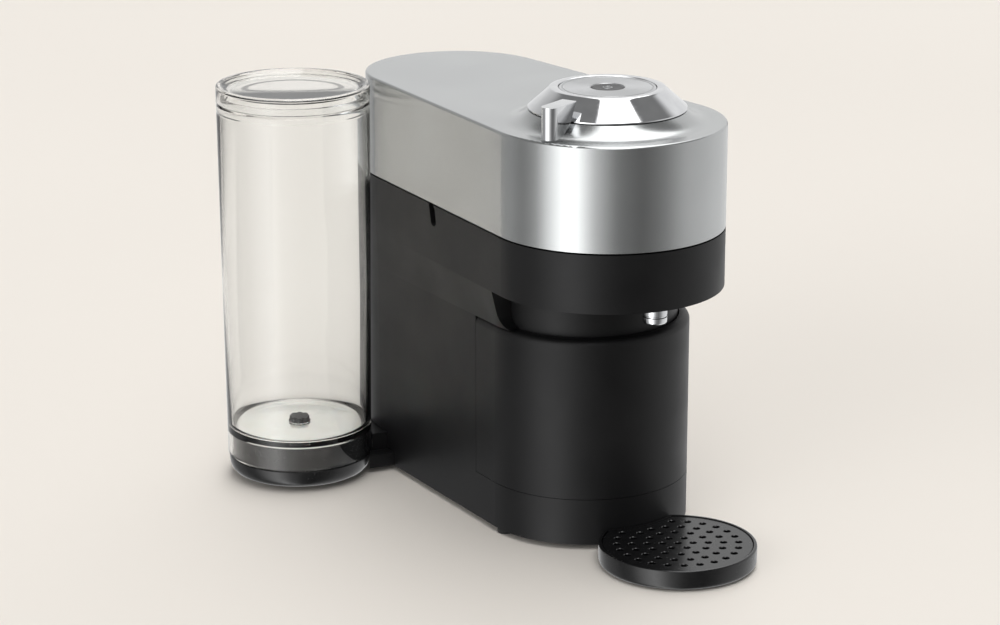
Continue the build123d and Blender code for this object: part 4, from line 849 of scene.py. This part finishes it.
def addStudio():
    v = stageSetup
    world = bpy.data.worlds.new("studio")
    world.use_nodes = True
    bpy.context.scene.world = world
    tree = world.node_tree
    tree.nodes.clear()
    place = addNode(tree, "ShaderNodeTexCoord").outputs["Generated"]
    turn = addNode(tree, "ShaderNodeTexGradient", {"gradient_type": "RADIAL"}, {"Vector": place})
    ramp = addNode(tree, "ShaderNodeValToRGB", links={"Fac": turn.outputs["Fac"]})
    for i, (share, grey) in enumerate(studioBands):
        stops = ramp.color_ramp.elements
        stop = stops[i] if i < 2 else stops.new(share)
        stop.position = share
        stop.color = [grey / v["bandScale"]] * 3 + [1]
    sides = addNode(tree, "ShaderNodeMath", {"operation": "MULTIPLY", 1: v["bandScale"]},
                    {0: ramp.outputs["Color"]})
    # overhead, a long strip light between dark ceiling panels
    parts = addNode(tree, "ShaderNodeSeparateXYZ", None, {"Vector": place})
    across = addNode(tree, "ShaderNodeVectorMath", {"operation": "DOT_PRODUCT", 1: v["stripRight"]},
                     {0: place})
    slope = addNode(tree, "ShaderNodeMath", {"operation": "DIVIDE"},
                    {0: across.outputs["Value"], 1: parts.outputs["Z"]})
    edges = []
    for edge, soft in ((v["stripFrom"], v["stripSoft"]), (v["stripTo"], -v["stripSoft"])):
        node = addNode(tree, "ShaderNodeMapRange", {"interpolation_type": "SMOOTHSTEP",
                                                    "From Min": edge - soft, "From Max": edge + soft},
                       {"Value": slope.outputs["Value"]})
        edges.append(node.outputs["Result"])
    inStrip = addNode(tree, "ShaderNodeMath", {"operation": "MULTIPLY"}, {0: edges[0], 1: edges[1]})
    ceiling = addNode(tree, "ShaderNodeMapRange", {"To Min": v["ceiling"], "To Max": v["strip"]},
                      {"Value": inStrip.outputs["Value"]})
    height = addNode(tree, "ShaderNodeMapRange", {"interpolation_type": "SMOOTHSTEP",
                                                  "From Min": v["ceilingFrom"],
                                                  "From Max": v["ceilingTo"]}, {"Value": parts.outputs["Z"]})
    blend = addNode(tree, "ShaderNodeMix", {"data_type": "FLOAT"},
                    {0: height.outputs["Result"], 2: sides.outputs["Value"], 3: ceiling.outputs["Result"]})
    panels = addNode(tree, "ShaderNodeBackground", None, {"Strength": blend.outputs[0]})
    panels.inputs["Color"].default_value = (1, 1, 1, 1)
    paper = addNode(tree, "ShaderNodeBackground", {"Color": toLinear(v["backdrop"]), "Strength": 1.0})
    ray = addNode(tree, "ShaderNodeLightPath")
    seen = addNode(tree, "ShaderNodeMath", {"operation": "MAXIMUM"},
                   {0: ray.outputs["Is Camera Ray"], 1: ray.outputs["Is Transmission Ray"]})
    both = addNode(tree, "ShaderNodeMixShader", None, {0: seen.outputs["Value"],
                                                       1: panels.outputs["Background"],
                                                       2: paper.outputs["Background"]})
    addNode(tree, "ShaderNodeOutputWorld", None, {"Surface": both.outputs["Shader"]})


paleFloor()
addStudio()

cameraSetup = {"place": (-0.91609, -1.32900, 0.61123), "heading": 32.466, "tilt": 16.697, "lens": 107.13}
bpy.ops.object.camera_add(location=cameraSetup["place"],
                          rotation=(radians(90 - cameraSetup["tilt"]), 0, -radians(cameraSetup["heading"])))
camera = bpy.context.object
camera.data.lens = cameraSetup["lens"]
camera.data.sensor_width = 36
bpy.context.scene.camera = camera
bpy.context.scene.view_settings.view_transform = "Standard"
say("floor, light and camera")
